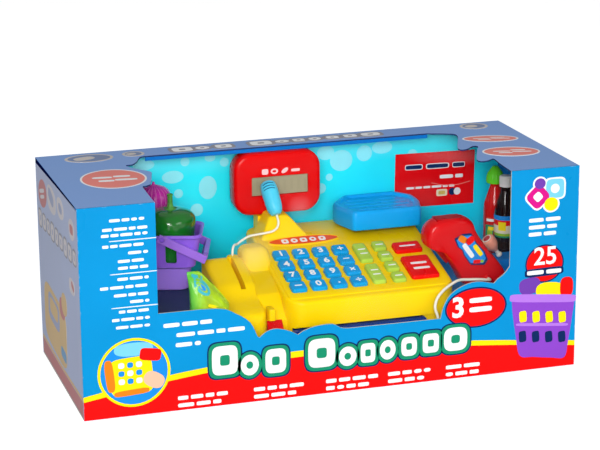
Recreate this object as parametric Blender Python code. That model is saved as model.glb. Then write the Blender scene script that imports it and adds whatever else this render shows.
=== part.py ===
"""A boxed toy shop: a carton with a clear window that holds a toy cash register,
its scanner and microphone, and toy food. Metres, +Z up, front of the carton at -Y.
The origin is at the middle of the carton's underside."""
import math

import bmesh
import bpy
import numpy as np
from mathutils import Matrix, Vector

# Sheet thicknesses and the seat clearance between pieces that touch
GAP = 0.0003
BOARD = 0.0015
CARD = 0.0010
FILM = 0.0003

# Keypad: slope of the panel, key sizes, pitches and where the rows start
SLOPE = math.radians(14.7)
KEY_PITCH_X = 0.0220
KEY_PITCH_V = 0.0214
KEY_ROWS = 4
BLUE_COLUMNS = 4
BLUE_KEY = (0.0163, 0.0165)
GREEN_KEY = (0.0140, 0.0160)
RED_KEY_WIDTH = 0.0305
RED_KEY_LENGTHS = (0.0420, 0.0185)
RED_KEY_SPACE = 0.0110
KEY_PROUD = 0.0040
KEY_TRAVEL = 0.0020
KEY_SIDE_CLEARANCE = 0.0004
KEY_FLANGE = 0.0010
KEY_FLANGE_THICK = 0.0010
FIRST_ROW_V = 0.0260
PLAQUE_ZONE = 0.0480
LEFT_KEY_MARGIN = 0.0180
RED_KEY_GAP = 0.0072
RIGHT_KEY_MARGIN = 0.0125
PANEL_RAISE = 0.0012
PANEL_BORDER = 0.0035

# Register housing
READER_WIDTH = 0.0440
VALLEY_WIDTH = 0.0210
FRONT_RISE = 0.0659
REAR_SHELF = 0.0403
WALL = 0.0030
BODY_CORNER = 0.0200
LIP_RISE = 0.0380
LIP_DEPTH = 0.0040
BASE_THICK = 0.0030
FOOT_DROP = 0.0199
FOOT_SLANT = 0.0080
FOOT_WIDTH = 0.0160
PLAQUE_HALF = (0.0400, 0.0092)
PLAQUE_INSET = 0.0520
MEMBRANE_THICK = 0.0012
PCB_THICK = 0.0016
BOSS_RADIUS = 0.0030
BOSS_ROWS = (0.0310, 0.1000)
BOSS_LEFT = 0.0055
BOSS_RIGHT = 0.0065
SINK = 0.0020
PANEL_FRONT = 0.0075
PLAQUE_PROUD = 0.0008
GLAND_INSET = 0.0150
GLAND_RISE = 0.0160
GLAND_LENGTH = 0.0038
SPEAKER_RADIUS = 0.0200
SPEAKER_HEIGHT = 0.0110
SPEAKER_INSET = 0.0450
BATTERY_DOOR = (0.0600, 0.0340)
BATTERY_DOOR_THICK = 0.0018
BATTERY_RIGHT_INSET = 0.0300
BATTERY_REAR_INSET = 0.0080
RUNNER_WIDTH = 0.0080

# Card reader and the saddle that joins it to the housing: depth behind the front face and
# height over the keypad's front edge
READER_LENGTH = 0.1120
READER_CORNER = 0.0120
READER_PROFILE = ((0.0, -0.0149), (0.0040, -0.0094), (0.0280, -0.0024), (0.0380, 0.0031),
                  (0.0450, 0.0086), (0.0540, 0.0126), (0.0880, 0.0233), (0.0980, 0.0241),
                  (0.1070, 0.0206), (0.1120, 0.0121))
SADDLE_PROFILE = ((0.0120, -0.0219), (0.0200, -0.0109), (0.0400, 0.0046), (0.0700, 0.0141),
                  (0.0950, 0.0196), (0.1060, 0.0181), (0.1100, 0.0101))
SADDLE_OVERLAP = 0.0040
GROOVE_WIDTH = 0.0050
GROOVE_PLACE = 0.66
GROOVE_PROFILE = ((0.0340, -0.0079), (0.0340, 0.0311), (0.0990, 0.0311), (0.0990, 0.0141))
KNOB_RADIUS = 0.0055
KNOB_INSET = 0.0090
KNOB_BACK = 0.1050
KNOB_FOOT = 0.0111
KNOB_HEIGHT = 0.0130

# Cash drawer
DRAWER_HEIGHT = 0.0230
DRAWER_LIFT = 0.0059
DRAWER_LENGTH = 0.1250
DRAWER_WALL = 0.0020
DRAWER_LEFT_INSET = 0.0050
DRAWER_RIGHT_INSET = 0.0360

# Display, weighing pan, microphone
DISPLAY_WIDTH = 0.0980
DISPLAY_HEIGHT = 0.0688
DISPLAY_DEPTH = 0.0250
DISPLAY_RISE = 0.0161
DISPLAY_CORNER = 0.0190
DISPLAY_LEFT_OVERHANG = 0.0120
DISPLAY_REAR_OVERHANG = 0.0090
LCD_SIZE = (0.0630, 0.0200)
LCD_INSET = (0.0200, 0.0220)
LCD_THICK = 0.0016
PAN_WIDTH = 0.0960
PAN_DEPTH = 0.0740
PAN_HEIGHT = 0.0215
PAN_WALL = 0.0025
PAN_TRAVEL = 0.0020
PAN_OVERHANG = 0.0090
PAN_STEM_RADIUS = 0.0080
NECK_RISE = 0.0216
NECK_FRONT = 0.0360
NECK_SET_BACK = 0.0100
NECK_FOOT = (0.0240, 0.0300)
NECK_HEAD = (0.0120, 0.0090)
NECK_FROM_DISPLAY_MIDDLE = 0.0060
MIC_LENGTH = 0.0390
MIC_RADIUS = 0.0092
MIC_CORD = 0.0025

# Carton: room around the register, from which the outer size follows
LEFT_BAY = 0.1550
RIGHT_BAY = 0.1250
FRONT_ROOM = 0.0220
REAR_CLEARANCE = 0.0050
BACK_AIR = 0.0075
TRAY_FLOOR = 0.0280
TOP_CLEARANCE = 0.0006
LEFT_PLATFORM = 0.0900
RIGHT_PLATFORM = 0.0800
STEP_RISE = 0.0160
DUST_FLAP = 0.0650
TUCK_TAB = 0.0200
TUCK_CLEARANCE = 0.0016
WINDOW_WIDTH = 0.3760
WINDOW_LEFT_INSET = 0.0780
WINDOW_SILL = 0.0665
CUTOUT_DEPTH = 0.1870
LIP_DROP = 0.0040
FILM_MARGIN = 0.0100

# Loose toys
SCANNER_LENGTH = 0.0925
SCANNER_HEIGHT = 0.0795
SCANNER_THICK = 0.0260
SCANNER_LEFT_OF_EDGE = 0.0260
SCANNER_BACK = 0.0380
TRIGGER_HALF = (0.0040, 0.0040, 0.0080)
TRIGGER_LEAN = math.radians(-39)
TRIGGER_TRAVEL = 0.0020
CORD = 0.0030
CORD_TURN = 0.0081
CARD_SIZE = (0.0950, 0.0620)
CARD_THICK = 0.0006
CARD_RIGHT_OF_EDGE = 0.0445
CARD_RISE = 0.0320
CARD_LEAN = math.radians(1.0)
BASKET_LENGTH = 0.0960
BASKET_WIDTH = 0.0600
BASKET_HEIGHT = 0.0620
BASKET_STEP = 0.0260
BASKET_WALL = 0.0020
BASKET_TURN = math.radians(-18)
BASKET_CORNER = 0.0100
BASKET_PLACE = (0.0070, 0.0720)
HANDLE_ARM = 0.0500
HANDLE_ARM_HALF = 0.0042
HANDLE_THICK = 0.0026
HANDLE_REST = math.radians(-26)
PIVOT_INSET = 0.0410
PIVOT_DROP = 0.0035
PIN_RADIUS = 0.0025
PIN_CLEARANCE = 0.0003
PEPPER_RADIUS = 0.0226
PEPPER_HEIGHT = 0.0620
PEPPER_PLACE = 0.0140
ONION_RADIUS = 0.0185
POUCH_SIZE = (0.0430, 0.0180, 0.0490)
SAUCE_RADIUS = 0.0125
SAUCE_HEIGHT = 0.0830
SAUCE_CAP_HEIGHT = 0.0185
COLA_RADIUS = 0.0120
COLA_HEIGHT = 0.0860
COLA_CAP_RADIUS = 0.0070
COLA_CAP_HEIGHT = 0.0120
HAM_RADIUS = 0.0078
HAM_PLACE = (0.0640, 0.0745, 0.0209)
HAM_AXIS = (0.62, 0.10, -0.78)
BOTTLE_RIGHT_OF_EDGE = 0.0975
SAUCE_BACK = 0.1380
COLA_BACK = 0.1080

# Places worked out from the sizes above
GREEN_X = LEFT_KEY_MARGIN + BLUE_COLUMNS * KEY_PITCH_X
RED_X = GREEN_X + KEY_PITCH_X + GREEN_KEY[0] / 2 + RED_KEY_GAP + RED_KEY_WIDTH / 2
BODY_WIDTH = RED_X + RED_KEY_WIDTH / 2 + RIGHT_KEY_MARGIN
REGISTER_WIDTH = READER_WIDTH + VALLEY_WIDTH + BODY_WIDTH
SLOPE_LENGTH = FIRST_ROW_V + (KEY_ROWS - 1) * KEY_PITCH_V + PLAQUE_ZONE
SLOPE_RUN = SLOPE_LENGTH * math.cos(SLOPE)
REGISTER_DEPTH = SLOPE_RUN + REAR_SHELF
CARTON_WIDTH = LEFT_BAY + REGISTER_WIDTH + RIGHT_BAY
CARTON_DEPTH = (FRONT_ROOM + REGISTER_DEPTH + DISPLAY_REAR_OVERHANG + REAR_CLEARANCE
                + CARD + BACK_AIR + BOARD)
HALF_W = CARTON_WIDTH / 2
HALF_D = CARTON_DEPTH / 2
REGISTER_LEFT = -HALF_W + LEFT_BAY
READER_RIGHT = REGISTER_LEFT + READER_WIDTH
BODY_LEFT = READER_RIGHT + VALLEY_WIDTH
BODY_RIGHT = BODY_LEFT + BODY_WIDTH
FRONT_Y = -HALF_D + FRONT_ROOM
REAR_Y = FRONT_Y + REGISTER_DEPTH
EDGE_Z = TRAY_FLOOR + FRONT_RISE
BODY_TOP = EDGE_Z + SLOPE_LENGTH * math.sin(SLOPE) - PANEL_RAISE
BACKDROP_Y = REAR_Y + DISPLAY_REAR_OVERHANG + REAR_CLEARANCE
DISPLAY_Z = BODY_TOP + DISPLAY_RISE
DISPLAY_X = BODY_LEFT - DISPLAY_LEFT_OVERHANG
DISPLAY_Y = REAR_Y + DISPLAY_REAR_OVERHANG - DISPLAY_DEPTH
CARTON_HEIGHT = DISPLAY_Z + DISPLAY_HEIGHT + TOP_CLEARANCE + LIP_DROP + BOARD
BASE_Z = TRAY_FLOOR + GAP
SHELL_Z = BASE_Z + BASE_THICK + GAP
LIP_Z = TRAY_FLOOR + LIP_RISE
WINDOW_LEFT = -HALF_W + WINDOW_LEFT_INSET
WINDOW_RIGHT = WINDOW_LEFT + WINDOW_WIDTH
FLANGE_LOW = -WALL - GAP - KEY_FLANGE_THICK
MEMBRANE_TOP = FLANGE_LOW - KEY_TRAVEL - GAP
PCB_TOP = MEMBRANE_TOP - MEMBRANE_THICK - GAP


def remove_objects():
    """Start from an empty scene."""
    for item in list(bpy.data.objects):
        bpy.data.objects.remove(item, do_unlink=True)


def material(name, colour, roughness, alpha=1.0):
    """A plain plastic or card material."""
    result = bpy.data.materials.new(name)
    result.use_nodes = True
    shader = result.node_tree.nodes["Principled BSDF"]
    shader.inputs["Base Color"].default_value = (*colour, 1.0)
    shader.inputs["Roughness"].default_value = roughness
    shader.inputs["Metallic"].default_value = 0.0
    shader.inputs["Alpha"].default_value = alpha
    return result


def place(name, bm, finish):
    """Turn a bmesh into a named object with outward faces."""
    bmesh.ops.recalc_face_normals(bm, faces=bm.faces)
    mesh = bpy.data.meshes.new(name)
    bm.to_mesh(mesh)
    bm.free()
    mesh.materials.append(finish)
    mesh.shade_smooth()
    mesh.set_sharp_from_angle(angle=math.radians(35))
    item = bpy.data.objects.new(name, mesh)
    bpy.context.scene.collection.objects.link(item)
    return item


def loft(name, rings, finish):
    """Skin rings of equal point counts one after the other and close both ends."""
    bm = bmesh.new()
    grid = [[bm.verts.new(point) for point in ring] for ring in rings]
    count = len(grid[0])
    for low, high in zip(grid, grid[1:]):
        for k in range(count):
            bm.faces.new((low[k], low[(k + 1) % count], high[(k + 1) % count], high[k]))
    bm.faces.new(grid[0][::-1])
    bm.faces.new(grid[-1])
    return place(name, bm, finish)


def prism(name, outline, axis, low, high, finish):
    """Extrude a closed outline along one axis; the outline holds the two other coordinates."""
    order = {"x": (2, 0, 1), "y": (0, 2, 1), "z": (0, 1, 2)}[axis]

    def point(a, b, c):
        values = (a, b, c)
        return tuple(values[k] for k in order)

    return loft(name, [[point(a, b, low) for a, b in outline],
                       [point(a, b, high) for a, b in outline]], finish)


def box(name, low, high, finish):
    """A plain block between two corners."""
    outline = [(low[0], low[1]), (high[0], low[1]), (high[0], high[1]), (low[0], high[1])]
    return prism(name, outline, "z", low[2], high[2], finish)


def turned(name, profile, steps, finish, centre=(0.0, 0.0), axis_matrix=None):
    """Turn a profile of (radius, height) pairs about Z, then place it."""
    rings = []
    for radius, height in profile:
        ring = []
        for k in range(steps):
            angle = 2 * math.pi * k / steps
            point = Vector((radius * math.cos(angle), radius * math.sin(angle), height))
            if axis_matrix is not None:
                point = axis_matrix @ point
            ring.append((point.x + centre[0], point.y + centre[1], point.z))
        rings.append(ring)
    return loft(name, rings, finish)


def rounded_rect(cx, cy, width, height, radius, steps=3):
    """Points of a rectangle with round corners, counter-clockwise."""
    points = []
    for turn, sx, sy in ((0, 1, 1), (1, -1, 1), (2, -1, -1), (3, 1, -1)):
        corner_x = cx + sx * (width / 2 - radius)
        corner_y = cy + sy * (height / 2 - radius)
        for k in range(steps + 1):
            angle = math.pi / 2 * (turn + k / steps)
            points.append((corner_x + radius * math.cos(angle), corner_y + radius * math.sin(angle)))
    return points


def smooth(points, steps, closed=False):
    """A Catmull-Rom curve through points of any dimension."""
    count = len(points)
    data = [np.array(point, float) for point in points]
    result = []
    spans = count if closed else count - 1
    for k in range(spans):
        if closed:
            before, start, end, after = (data[(k + j) % count] for j in (-1, 0, 1, 2))
        else:
            start, end = data[k], data[k + 1]
            before = data[k - 1] if k > 0 else 2 * start - end
            after = data[k + 2] if k + 2 < count else 2 * end - start
        for j in range(steps):
            t = j / steps
            result.append(0.5 * (2 * start + (end - before) * t
                                 + (2 * before - 5 * start + 4 * end - after) * t ** 2
                                 + (3 * start - before - 3 * end + after) * t ** 3))
    if not closed:
        result.append(data[-1])
    return [tuple(float(value) for value in point) for point in result]


def tool(item):
    """Mark an object as a cutter or a shape that only another object uses."""
    item.hide_render = True
    item.display_type = "WIRE"
    return item


def combine(item, other, operation):
    """Join, cut or intersect an object with another by an exact Boolean."""
    tool(other)
    modifier = item.modifiers.new(operation.lower() + "_" + other.name, "BOOLEAN")
    modifier.operation = operation
    modifier.solver = "EXACT"
    modifier.object = other
    return item


def cut(item, *others):
    for other in others:
        combine(item, other, "DIFFERENCE")
    return item


def join(item, *others):
    for other in others:
        combine(item, other, "UNION")
    return item


def panel_point(u, v, h):
    """A point on the keypad: u to the right of the body's left side, v up the slope from
    the front face, h square to the panel's surface."""
    return (BODY_LEFT + u,
            FRONT_Y + v * math.cos(SLOPE) - h * math.sin(SLOPE),
            EDGE_Z + v * math.sin(SLOPE) + h * math.cos(SLOPE))


def panel_loft(name, sections, finish):
    """Skin outlines of (u, v) points at given heights over the keypad panel."""
    rings = [[panel_point(u, v, h) for u, v in outline] for h, outline in sections]
    return loft(name, rings, finish)


def axis_frame(start, direction):
    """A matrix that takes +Z to the direction and the origin to the start."""
    turn = Vector((0, 0, 1)).rotation_difference(Vector(direction).normalized())
    return Matrix.Translation(Vector(start)) @ turn.to_matrix().to_4x4()


def cord(name, route, diameter, finish):
    """A round cord along a smooth curve through its route, with closed ends."""
    dense = np.array(smooth(route, 24))
    lengths = np.concatenate(([0.0], np.cumsum(np.linalg.norm(np.diff(dense, axis=0), axis=1))))
    count = int(lengths[-1] / (2.2 * diameter)) + 1
    end = diameter * 1.1
    marks = np.concatenate(([0.0], np.linspace(end, lengths[-1] - end, count - 2), [lengths[-1]]))
    points = np.stack([np.interp(marks, lengths, dense[:, k]) for k in range(3)], axis=1)
    curve = bpy.data.curves.new(name, "CURVE")
    curve.dimensions = "3D"
    curve.bevel_depth = diameter / 2
    curve.bevel_resolution = 2
    curve.resolution_u = 1
    curve.render_resolution_u = 0
    curve.use_fill_caps = True
    spline = curve.splines.new("POLY")
    spline.points.add(count - 1)
    for slot, point in zip(spline.points, points):
        slot.co = (*point, 1.0)
    curve.materials.append(finish)
    item = bpy.data.objects.new(name, curve)
    bpy.context.scene.collection.objects.link(item)
    return item


def window_sill():
    """The lower edge of the front window, from left to right: printed shapes bulge over it."""
    width = WINDOW_WIDTH
    sill = WINDOW_SILL
    left_hill = [(0.0, 0.0380), (0.16, 0.0370), (0.212, 0.0297), (0.252, 0.0188), (0.272, 0.0030)]
    first_bump = [(0.277, 0.0017), (0.300, 0.0075), (0.325, 0.0091), (0.358, 0.0059), (0.386, 0.0003)]
    second_bump = [(0.399, 0.0035), (0.433, 0.0072), (0.483, 0.0079), (0.508, 0.0029), (0.530, 0.0015)]
    right_hill = [(0.797, 0.0010), (0.806, 0.0139), (0.826, 0.0261), (0.862, 0.0341),
                  (0.904, 0.0372), (0.954, 0.0335)]
    right_tip = [(0.966, 0.0380), (0.984, 0.0428), (1.0, 0.0500)]
    points = []
    for stretch in (left_hill, first_bump, second_bump, right_hill, right_tip):
        points += smooth([(WINDOW_LEFT + a * width, sill + b) for a, b in stretch], 3)
    return points


def top_cutout():
    """The window's outline in the top board, open to the front edge."""
    depth = CUTOUT_DEPTH
    right = [(0.0, 0.0), (0.0014, 0.18), (0.0034, 0.28), (0.0020, 0.303), (-0.0053, 0.273),
             (-0.0136, 0.267), (-0.0151, 0.31), (-0.0072, 0.417), (0.0015, 0.524), (0.0080, 0.60),
             (0.0032, 0.619), (-0.0052, 0.571), (-0.0130, 0.553), (-0.0161, 0.583), (-0.0104, 0.671),
             (-0.0030, 0.767), (0.0050, 0.880), (0.0045, 0.935), (-0.0040, 0.960), (-0.0230, 1.0)]
    left = [(0.0320, 1.0), (0.0270, 0.979), (0.0200, 0.890), (0.0133, 0.834), (0.0065, 0.829),
            (0.0060, 0.797), (0.0130, 0.725), (0.0240, 0.645), (0.0220, 0.574), (0.0120, 0.374),
            (0.0030, 0.348), (0.0014, 0.267), (0.0, 0.053), (0.0, 0.0)]
    front = -HALF_D
    points = smooth([(WINDOW_RIGHT + a, front + b * depth) for a, b in right], 2)
    points += smooth([(WINDOW_LEFT + a, front + b * depth) for a, b in left], 2)
    points.append((WINDOW_LEFT, front - BOARD))
    points.append((WINDOW_RIGHT, front - BOARD))
    return points


def make_carton():
    blue = material("printed_board", (0.02, 0.33, 0.86), 0.35)
    clear = material("clear_film", (0.9, 0.95, 1.0), 0.05, 0.15)
    cyan = material("back_card_print", (0.05, 0.72, 0.90), 0.4)
    inner_y = HALF_D - BOARD
    flap_low = BOARD + 0.001
    flap_high = CARTON_HEIGHT - BOARD - TUCK_CLEARANCE - BOARD - 0.001
    for side, name in ((-1, "carton_front"), (1, "carton_back")):
        outer, inner = side * HALF_D, side * inner_y
        board = box(name, (-HALF_W, min(outer, inner), 0), (HALF_W, max(outer, inner), CARTON_HEIGHT), blue)
        for end in (-1, 1):
            near = end * (HALF_W - BOARD - GAP)
            far = near - end * BOARD
            tip = side * (HALF_D - DUST_FLAP)
            root = side * (HALF_D - BOARD / 2)
            flap = box(f"{name}_dust_flap_{end}", (min(near, far), min(tip, root), flap_low),
                       (max(near, far), max(tip, root), flap_high), blue)
            join(board, flap)
        if side < 0:
            outline = window_sill()
            outline += [(WINDOW_RIGHT, CARTON_HEIGHT + BOARD), (WINDOW_LEFT, CARTON_HEIGHT + BOARD)]
            cut(board, prism("front_window", outline, "y", outer - BOARD, inner + BOARD, blue))
    top_low = CARTON_HEIGHT - BOARD
    side_y = inner_y - GAP
    top = box("carton_top", (-HALF_W, -side_y, top_low), (HALF_W, side_y, CARTON_HEIGHT), blue)
    lip_y = -HALF_D + CUTOUT_DEPTH
    lip = box("window_lip", (WINDOW_LEFT + 0.034, lip_y, top_low - LIP_DROP),
              (WINDOW_RIGHT - 0.022, lip_y + BOARD, CARTON_HEIGHT - BOARD / 2), blue)
    cut(top, prism("top_window", top_cutout(), "z", top_low - BOARD, CARTON_HEIGHT + BOARD, blue))
    join(top, lip)
    box("carton_bottom", (-HALF_W, -side_y, 0), (HALF_W, side_y, BOARD), blue)
    for end, name in ((-1, "left_end_flap"), (1, "right_end_flap")):
        outer = end * HALF_W
        inner = end * (HALF_W - BOARD)
        tab = end * (HALF_W - BOARD - TUCK_TAB)
        high = top_low - TUCK_CLEARANCE
        outline = [(outer, BOARD + GAP), (outer, high), (tab, high), (tab, high - BOARD),
                   (inner, high - BOARD), (inner, BOARD + GAP)]
        prism(name, outline, "y", -side_y, side_y, blue)
    film_y = -inner_y + GAP
    film_z = top_low - GAP
    film_back = lip_y - GAP
    outline = [(film_y, WINDOW_SILL - FILM_MARGIN), (film_y, film_z), (film_back, film_z),
               (film_back, film_z - FILM), (film_y + FILM, film_z - FILM),
               (film_y + FILM, WINDOW_SILL - FILM_MARGIN)]
    prism("window_film", outline, "x", WINDOW_LEFT - FILM_MARGIN, WINDOW_RIGHT + FILM_MARGIN, clear)
    inner_x = HALF_W - 2 * BOARD - 2 * GAP - 0.0003
    card_top = CARTON_HEIGHT - 2 * BOARD - TUCK_CLEARANCE - GAP
    box("backdrop_card", (-inner_x, BACKDROP_Y, BOARD + GAP), (inner_x, BACKDROP_Y + CARD, card_top), cyan)
    return inner_x, inner_y


def make_tray(inner_x, inner_y):
    """One folded card: a high platform on the left, the floor under the register, and a
    lower platform with a step on the right."""
    white = material("tray_card", (0.06, 0.40, 0.85), 0.5)
    low = BOARD + GAP
    left_fold = REGISTER_LEFT - 0.0015
    right_fold = BODY_RIGHT + 0.0035
    outline = [(-inner_x, low), (-inner_x, LEFT_PLATFORM), (left_fold, LEFT_PLATFORM),
               (left_fold, TRAY_FLOOR), (right_fold, TRAY_FLOOR), (right_fold, RIGHT_PLATFORM),
               (inner_x, RIGHT_PLATFORM), (inner_x, low), (inner_x - CARD, low),
               (inner_x - CARD, RIGHT_PLATFORM - CARD), (right_fold + CARD, RIGHT_PLATFORM - CARD),
               (right_fold + CARD, TRAY_FLOOR - CARD), (left_fold - CARD, TRAY_FLOOR - CARD),
               (left_fold - CARD, LEFT_PLATFORM - CARD), (-inner_x + CARD, LEFT_PLATFORM - CARD),
               (-inner_x + CARD, low)]
    front = -inner_y + 2 * GAP + FILM + 0.0003
    back = BACKDROP_Y - GAP
    tray = prism("tray_card", outline, "y", front, back, white)
    step = box("tray_step", (right_fold + 0.0525, FRONT_Y + 0.066, RIGHT_PLATFORM - CARD / 2),
               (inner_x, FRONT_Y + 0.0925, RIGHT_PLATFORM + STEP_RISE), white)
    legs = [box(f"tray_leg_{k}", (left_fold - CARD / 2, y, low), (right_fold + CARD * 1.5, y + CARD,
                                                                   TRAY_FLOOR - CARD / 2), white)
            for k, y in enumerate((front, back - CARD))]
    join(tray, step, *legs)
    return front


def key_layout():
    """Name, centre (u, v) and size of each key, from the back row to the front."""
    rows = [FIRST_ROW_V + k * KEY_PITCH_V for k in range(KEY_ROWS)][::-1]
    labels = (("1", "2", "3", "plus"), ("4", "5", "6", "minus"),
              ("7", "8", "9", "times"), ("clear", "0", "point", "divide"))
    keys = []
    for v, names in zip(rows, labels):
        for k, name in enumerate(names):
            keys.append(("key_" + name, LEFT_KEY_MARGIN + k * KEY_PITCH_X, v, BLUE_KEY))
    long_size = (GREEN_KEY[0], GREEN_KEY[1] + KEY_PITCH_V - 0.0020)
    keys.append(("key_long_back", GREEN_X, (rows[0] + rows[1]) / 2, long_size))
    keys.append(("key_long_front", GREEN_X, (rows[2] + rows[3]) / 2, long_size))
    for k, v in enumerate(rows):
        keys.append((f"key_small_{k + 1}", GREEN_X + KEY_PITCH_X, v, GREEN_KEY))
    front_length, back_length = RED_KEY_LENGTHS
    front_v = rows[3] - BLUE_KEY[1] / 2 + 0.0025 + front_length / 2
    back_v = front_v + front_length / 2 + RED_KEY_SPACE + back_length / 2
    keys.append(("key_red_front", RED_X, front_v, (RED_KEY_WIDTH, front_length)))
    keys.append(("key_red_back", RED_X, back_v, (RED_KEY_WIDTH, back_length)))
    return keys


def make_keys():
    """Caps with round corners, each held under the panel by a flange. The origin of each
    is at its centre on the panel's surface."""
    finishes = {"small": material("green_plastic", (0.55, 0.75, 0.15), 0.35),
                "red": material("red_plastic", (0.80, 0.01, 0.01), 0.3),
                "blue": material("blue_plastic", (0.02, 0.45, 0.80), 0.35)}
    finishes["long"] = finishes["small"]
    cutter = bmesh.new()
    for name, u, v, (width, length) in key_layout():
        finish = finishes.get(name.split("_")[1], finishes["blue"])
        radius = 0.0030

        def outline(grow):
            return rounded_rect(u, v, width + 2 * grow, length + 2 * grow, radius + max(grow, -0.002), 2)

        low = -WALL - GAP
        item = panel_loft(name, [(FLANGE_LOW, outline(KEY_FLANGE)), (low, outline(KEY_FLANGE)),
                                 (low, outline(0.0)), (KEY_PROUD - 0.0012, outline(-0.0002)),
                                 (KEY_PROUD, outline(-0.0012))], finish)
        origin = Vector(panel_point(u, v, 0.0))
        item.data.transform(Matrix.Translation(-origin))
        item.location = origin
        rings = [[cutter.verts.new(panel_point(a, b, h)) for a, b in outline(KEY_SIDE_CLEARANCE)]
                 for h in (-WALL - 0.004, 0.002)]
        count = len(rings[0])
        for k in range(count):
            cutter.faces.new((rings[0][k], rings[0][(k + 1) % count], rings[1][(k + 1) % count], rings[1][k]))
        cutter.faces.new(rings[0][::-1])
        cutter.faces.new(rings[1])
    return place("key_holes", cutter, finishes["blue"])


def body_shape(yellow):
    """The housing's body: a plan with round corners and a sloping, overhanging side view."""
    lip_back = FRONT_Y + LIP_DEPTH
    flat_y = FRONT_Y + SLOPE_RUN
    edge = EDGE_Z - PANEL_RAISE
    top = BODY_TOP
    side = [(lip_back, SHELL_Z), (lip_back, LIP_Z), (FRONT_Y, LIP_Z), (FRONT_Y, edge - 0.006),
            (FRONT_Y + 0.0012, edge - 0.0022), (FRONT_Y + 0.005, edge + 0.0013), (flat_y, top),
            (REAR_Y - 0.004, top), (REAR_Y - 0.001, top - 0.0015), (REAR_Y, top - 0.005),
            (REAR_Y, SHELL_Z)]
    body = prism("register_shell", side, "x", BODY_LEFT, BODY_RIGHT, yellow)
    middle = (BODY_LEFT + BODY_RIGHT) / 2
    outline = rounded_rect(middle, FRONT_Y + REGISTER_DEPTH / 2, BODY_WIDTH, REGISTER_DEPTH, BODY_CORNER, 6)
    plan = prism("body_plan", outline, "z", SHELL_Z - SINK, top + SINK, yellow)
    return combine(body, plan, "INTERSECT")


def on_housing(profile):
    """A profile of (depth behind the front face, height over the keypad's front edge) as (y, z)."""
    return [(FRONT_Y + depth, EDGE_Z + height) for depth, height in profile]


def make_reader(yellow):
    """The card reader beside the keypad, with its groove, the saddle that joins the two, the
    tab in front of the saddle and the knob that takes the microphone's plug."""
    def closed(profile):
        points = on_housing(profile)
        return [(points[0][0], SHELL_Z)] + points + [(points[-1][0], SHELL_Z)]

    reader = prism("reader", closed(READER_PROFILE), "x", REGISTER_LEFT, READER_RIGHT, yellow)
    plan = rounded_rect(REGISTER_LEFT + READER_WIDTH / 2, FRONT_Y + READER_LENGTH / 2,
                        READER_WIDTH, READER_LENGTH, READER_CORNER, 4)
    above = EDGE_Z + KNOB_FOOT + KNOB_HEIGHT + BOARD
    combine(reader, prism("reader_plan", plan, "z", SHELL_Z - BOARD, above, yellow), "INTERSECT")
    groove_x = REGISTER_LEFT + READER_WIDTH * GROOVE_PLACE
    cut(reader, prism("reader_groove", on_housing(GROOVE_PROFILE), "x",
                      groove_x - GROOVE_WIDTH / 2, groove_x + GROOVE_WIDTH / 2, yellow))
    saddle = prism("saddle", closed(SADDLE_PROFILE), "x",
                   READER_RIGHT - SADDLE_OVERLAP, BODY_LEFT + SADDLE_OVERLAP, yellow)
    tab = box("saddle_tab", (READER_RIGHT + 0.0010, FRONT_Y + 0.0020, EDGE_Z - 0.0179),
              (READER_RIGHT + 0.0080, FRONT_Y + 0.0160, EDGE_Z - 0.0059), yellow)
    foot = EDGE_Z + KNOB_FOOT
    knob = turned("plug_knob", [(KNOB_RADIUS, foot), (KNOB_RADIUS, foot + KNOB_HEIGHT - 0.0015),
                                (KNOB_RADIUS - 0.0010, foot + KNOB_HEIGHT)],
                  12, yellow, (READER_RIGHT - KNOB_INSET, FRONT_Y + KNOB_BACK))
    return reader, saddle, tab, knob


def make_neck(yellow):
    """The four-sided foot of the display and the block behind it that the display sits on."""
    neck_x = DISPLAY_X + DISPLAY_WIDTH / 2 - NECK_FROM_DISPLAY_MIDDLE
    front = DISPLAY_Y - NECK_FRONT
    back = DISPLAY_Y - GAP
    low = BODY_TOP - SINK
    rings = []
    ends = ((NECK_FOOT, front, low), (NECK_HEAD, front + NECK_SET_BACK, BODY_TOP + NECK_RISE))
    for (left, right), y, z in ends:
        rings.append([(neck_x - left, y, z), (neck_x + right, y, z),
                      (neck_x + right, back, z), (neck_x - left, back, z)])
    neck = loft("neck", rings, yellow)
    seat = box("display_seat", (neck_x - 0.0180, DISPLAY_Y - SINK, low),
               (neck_x + 0.0100, REAR_Y - 0.0010, DISPLAY_Z - GAP), yellow)
    return neck, seat, neck_x


def housing_cavity(yellow):
    """The room inside the housing, one wall in from its outside."""
    roof = EDGE_Z - WALL / math.cos(SLOPE)
    inner_front = FRONT_Y + LIP_DEPTH + WALL
    roof_front = roof + (inner_front - FRONT_Y) * math.tan(SLOPE)
    flat_roof = BODY_TOP - WALL
    flat_start = FRONT_Y + (flat_roof - roof) / math.tan(SLOPE)
    below = SHELL_Z - SINK
    side = [(inner_front, below), (inner_front, roof_front), (flat_start, flat_roof),
            (REAR_Y - WALL, flat_roof), (REAR_Y - WALL, below)]
    cavity = prism("body_cavity", side, "x", BODY_LEFT + WALL, BODY_RIGHT - WALL, yellow)
    corner = rounded_rect((BODY_LEFT + BODY_RIGHT) / 2, FRONT_Y + REGISTER_DEPTH / 2 + LIP_DEPTH / 2,
                          BODY_WIDTH - 2 * WALL, REGISTER_DEPTH - LIP_DEPTH - 2 * WALL,
                          BODY_CORNER - WALL, 6)
    return combine(cavity, prism("cavity_plan", corner, "z", below - GAP, BODY_TOP, yellow), "INTERSECT")


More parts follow.
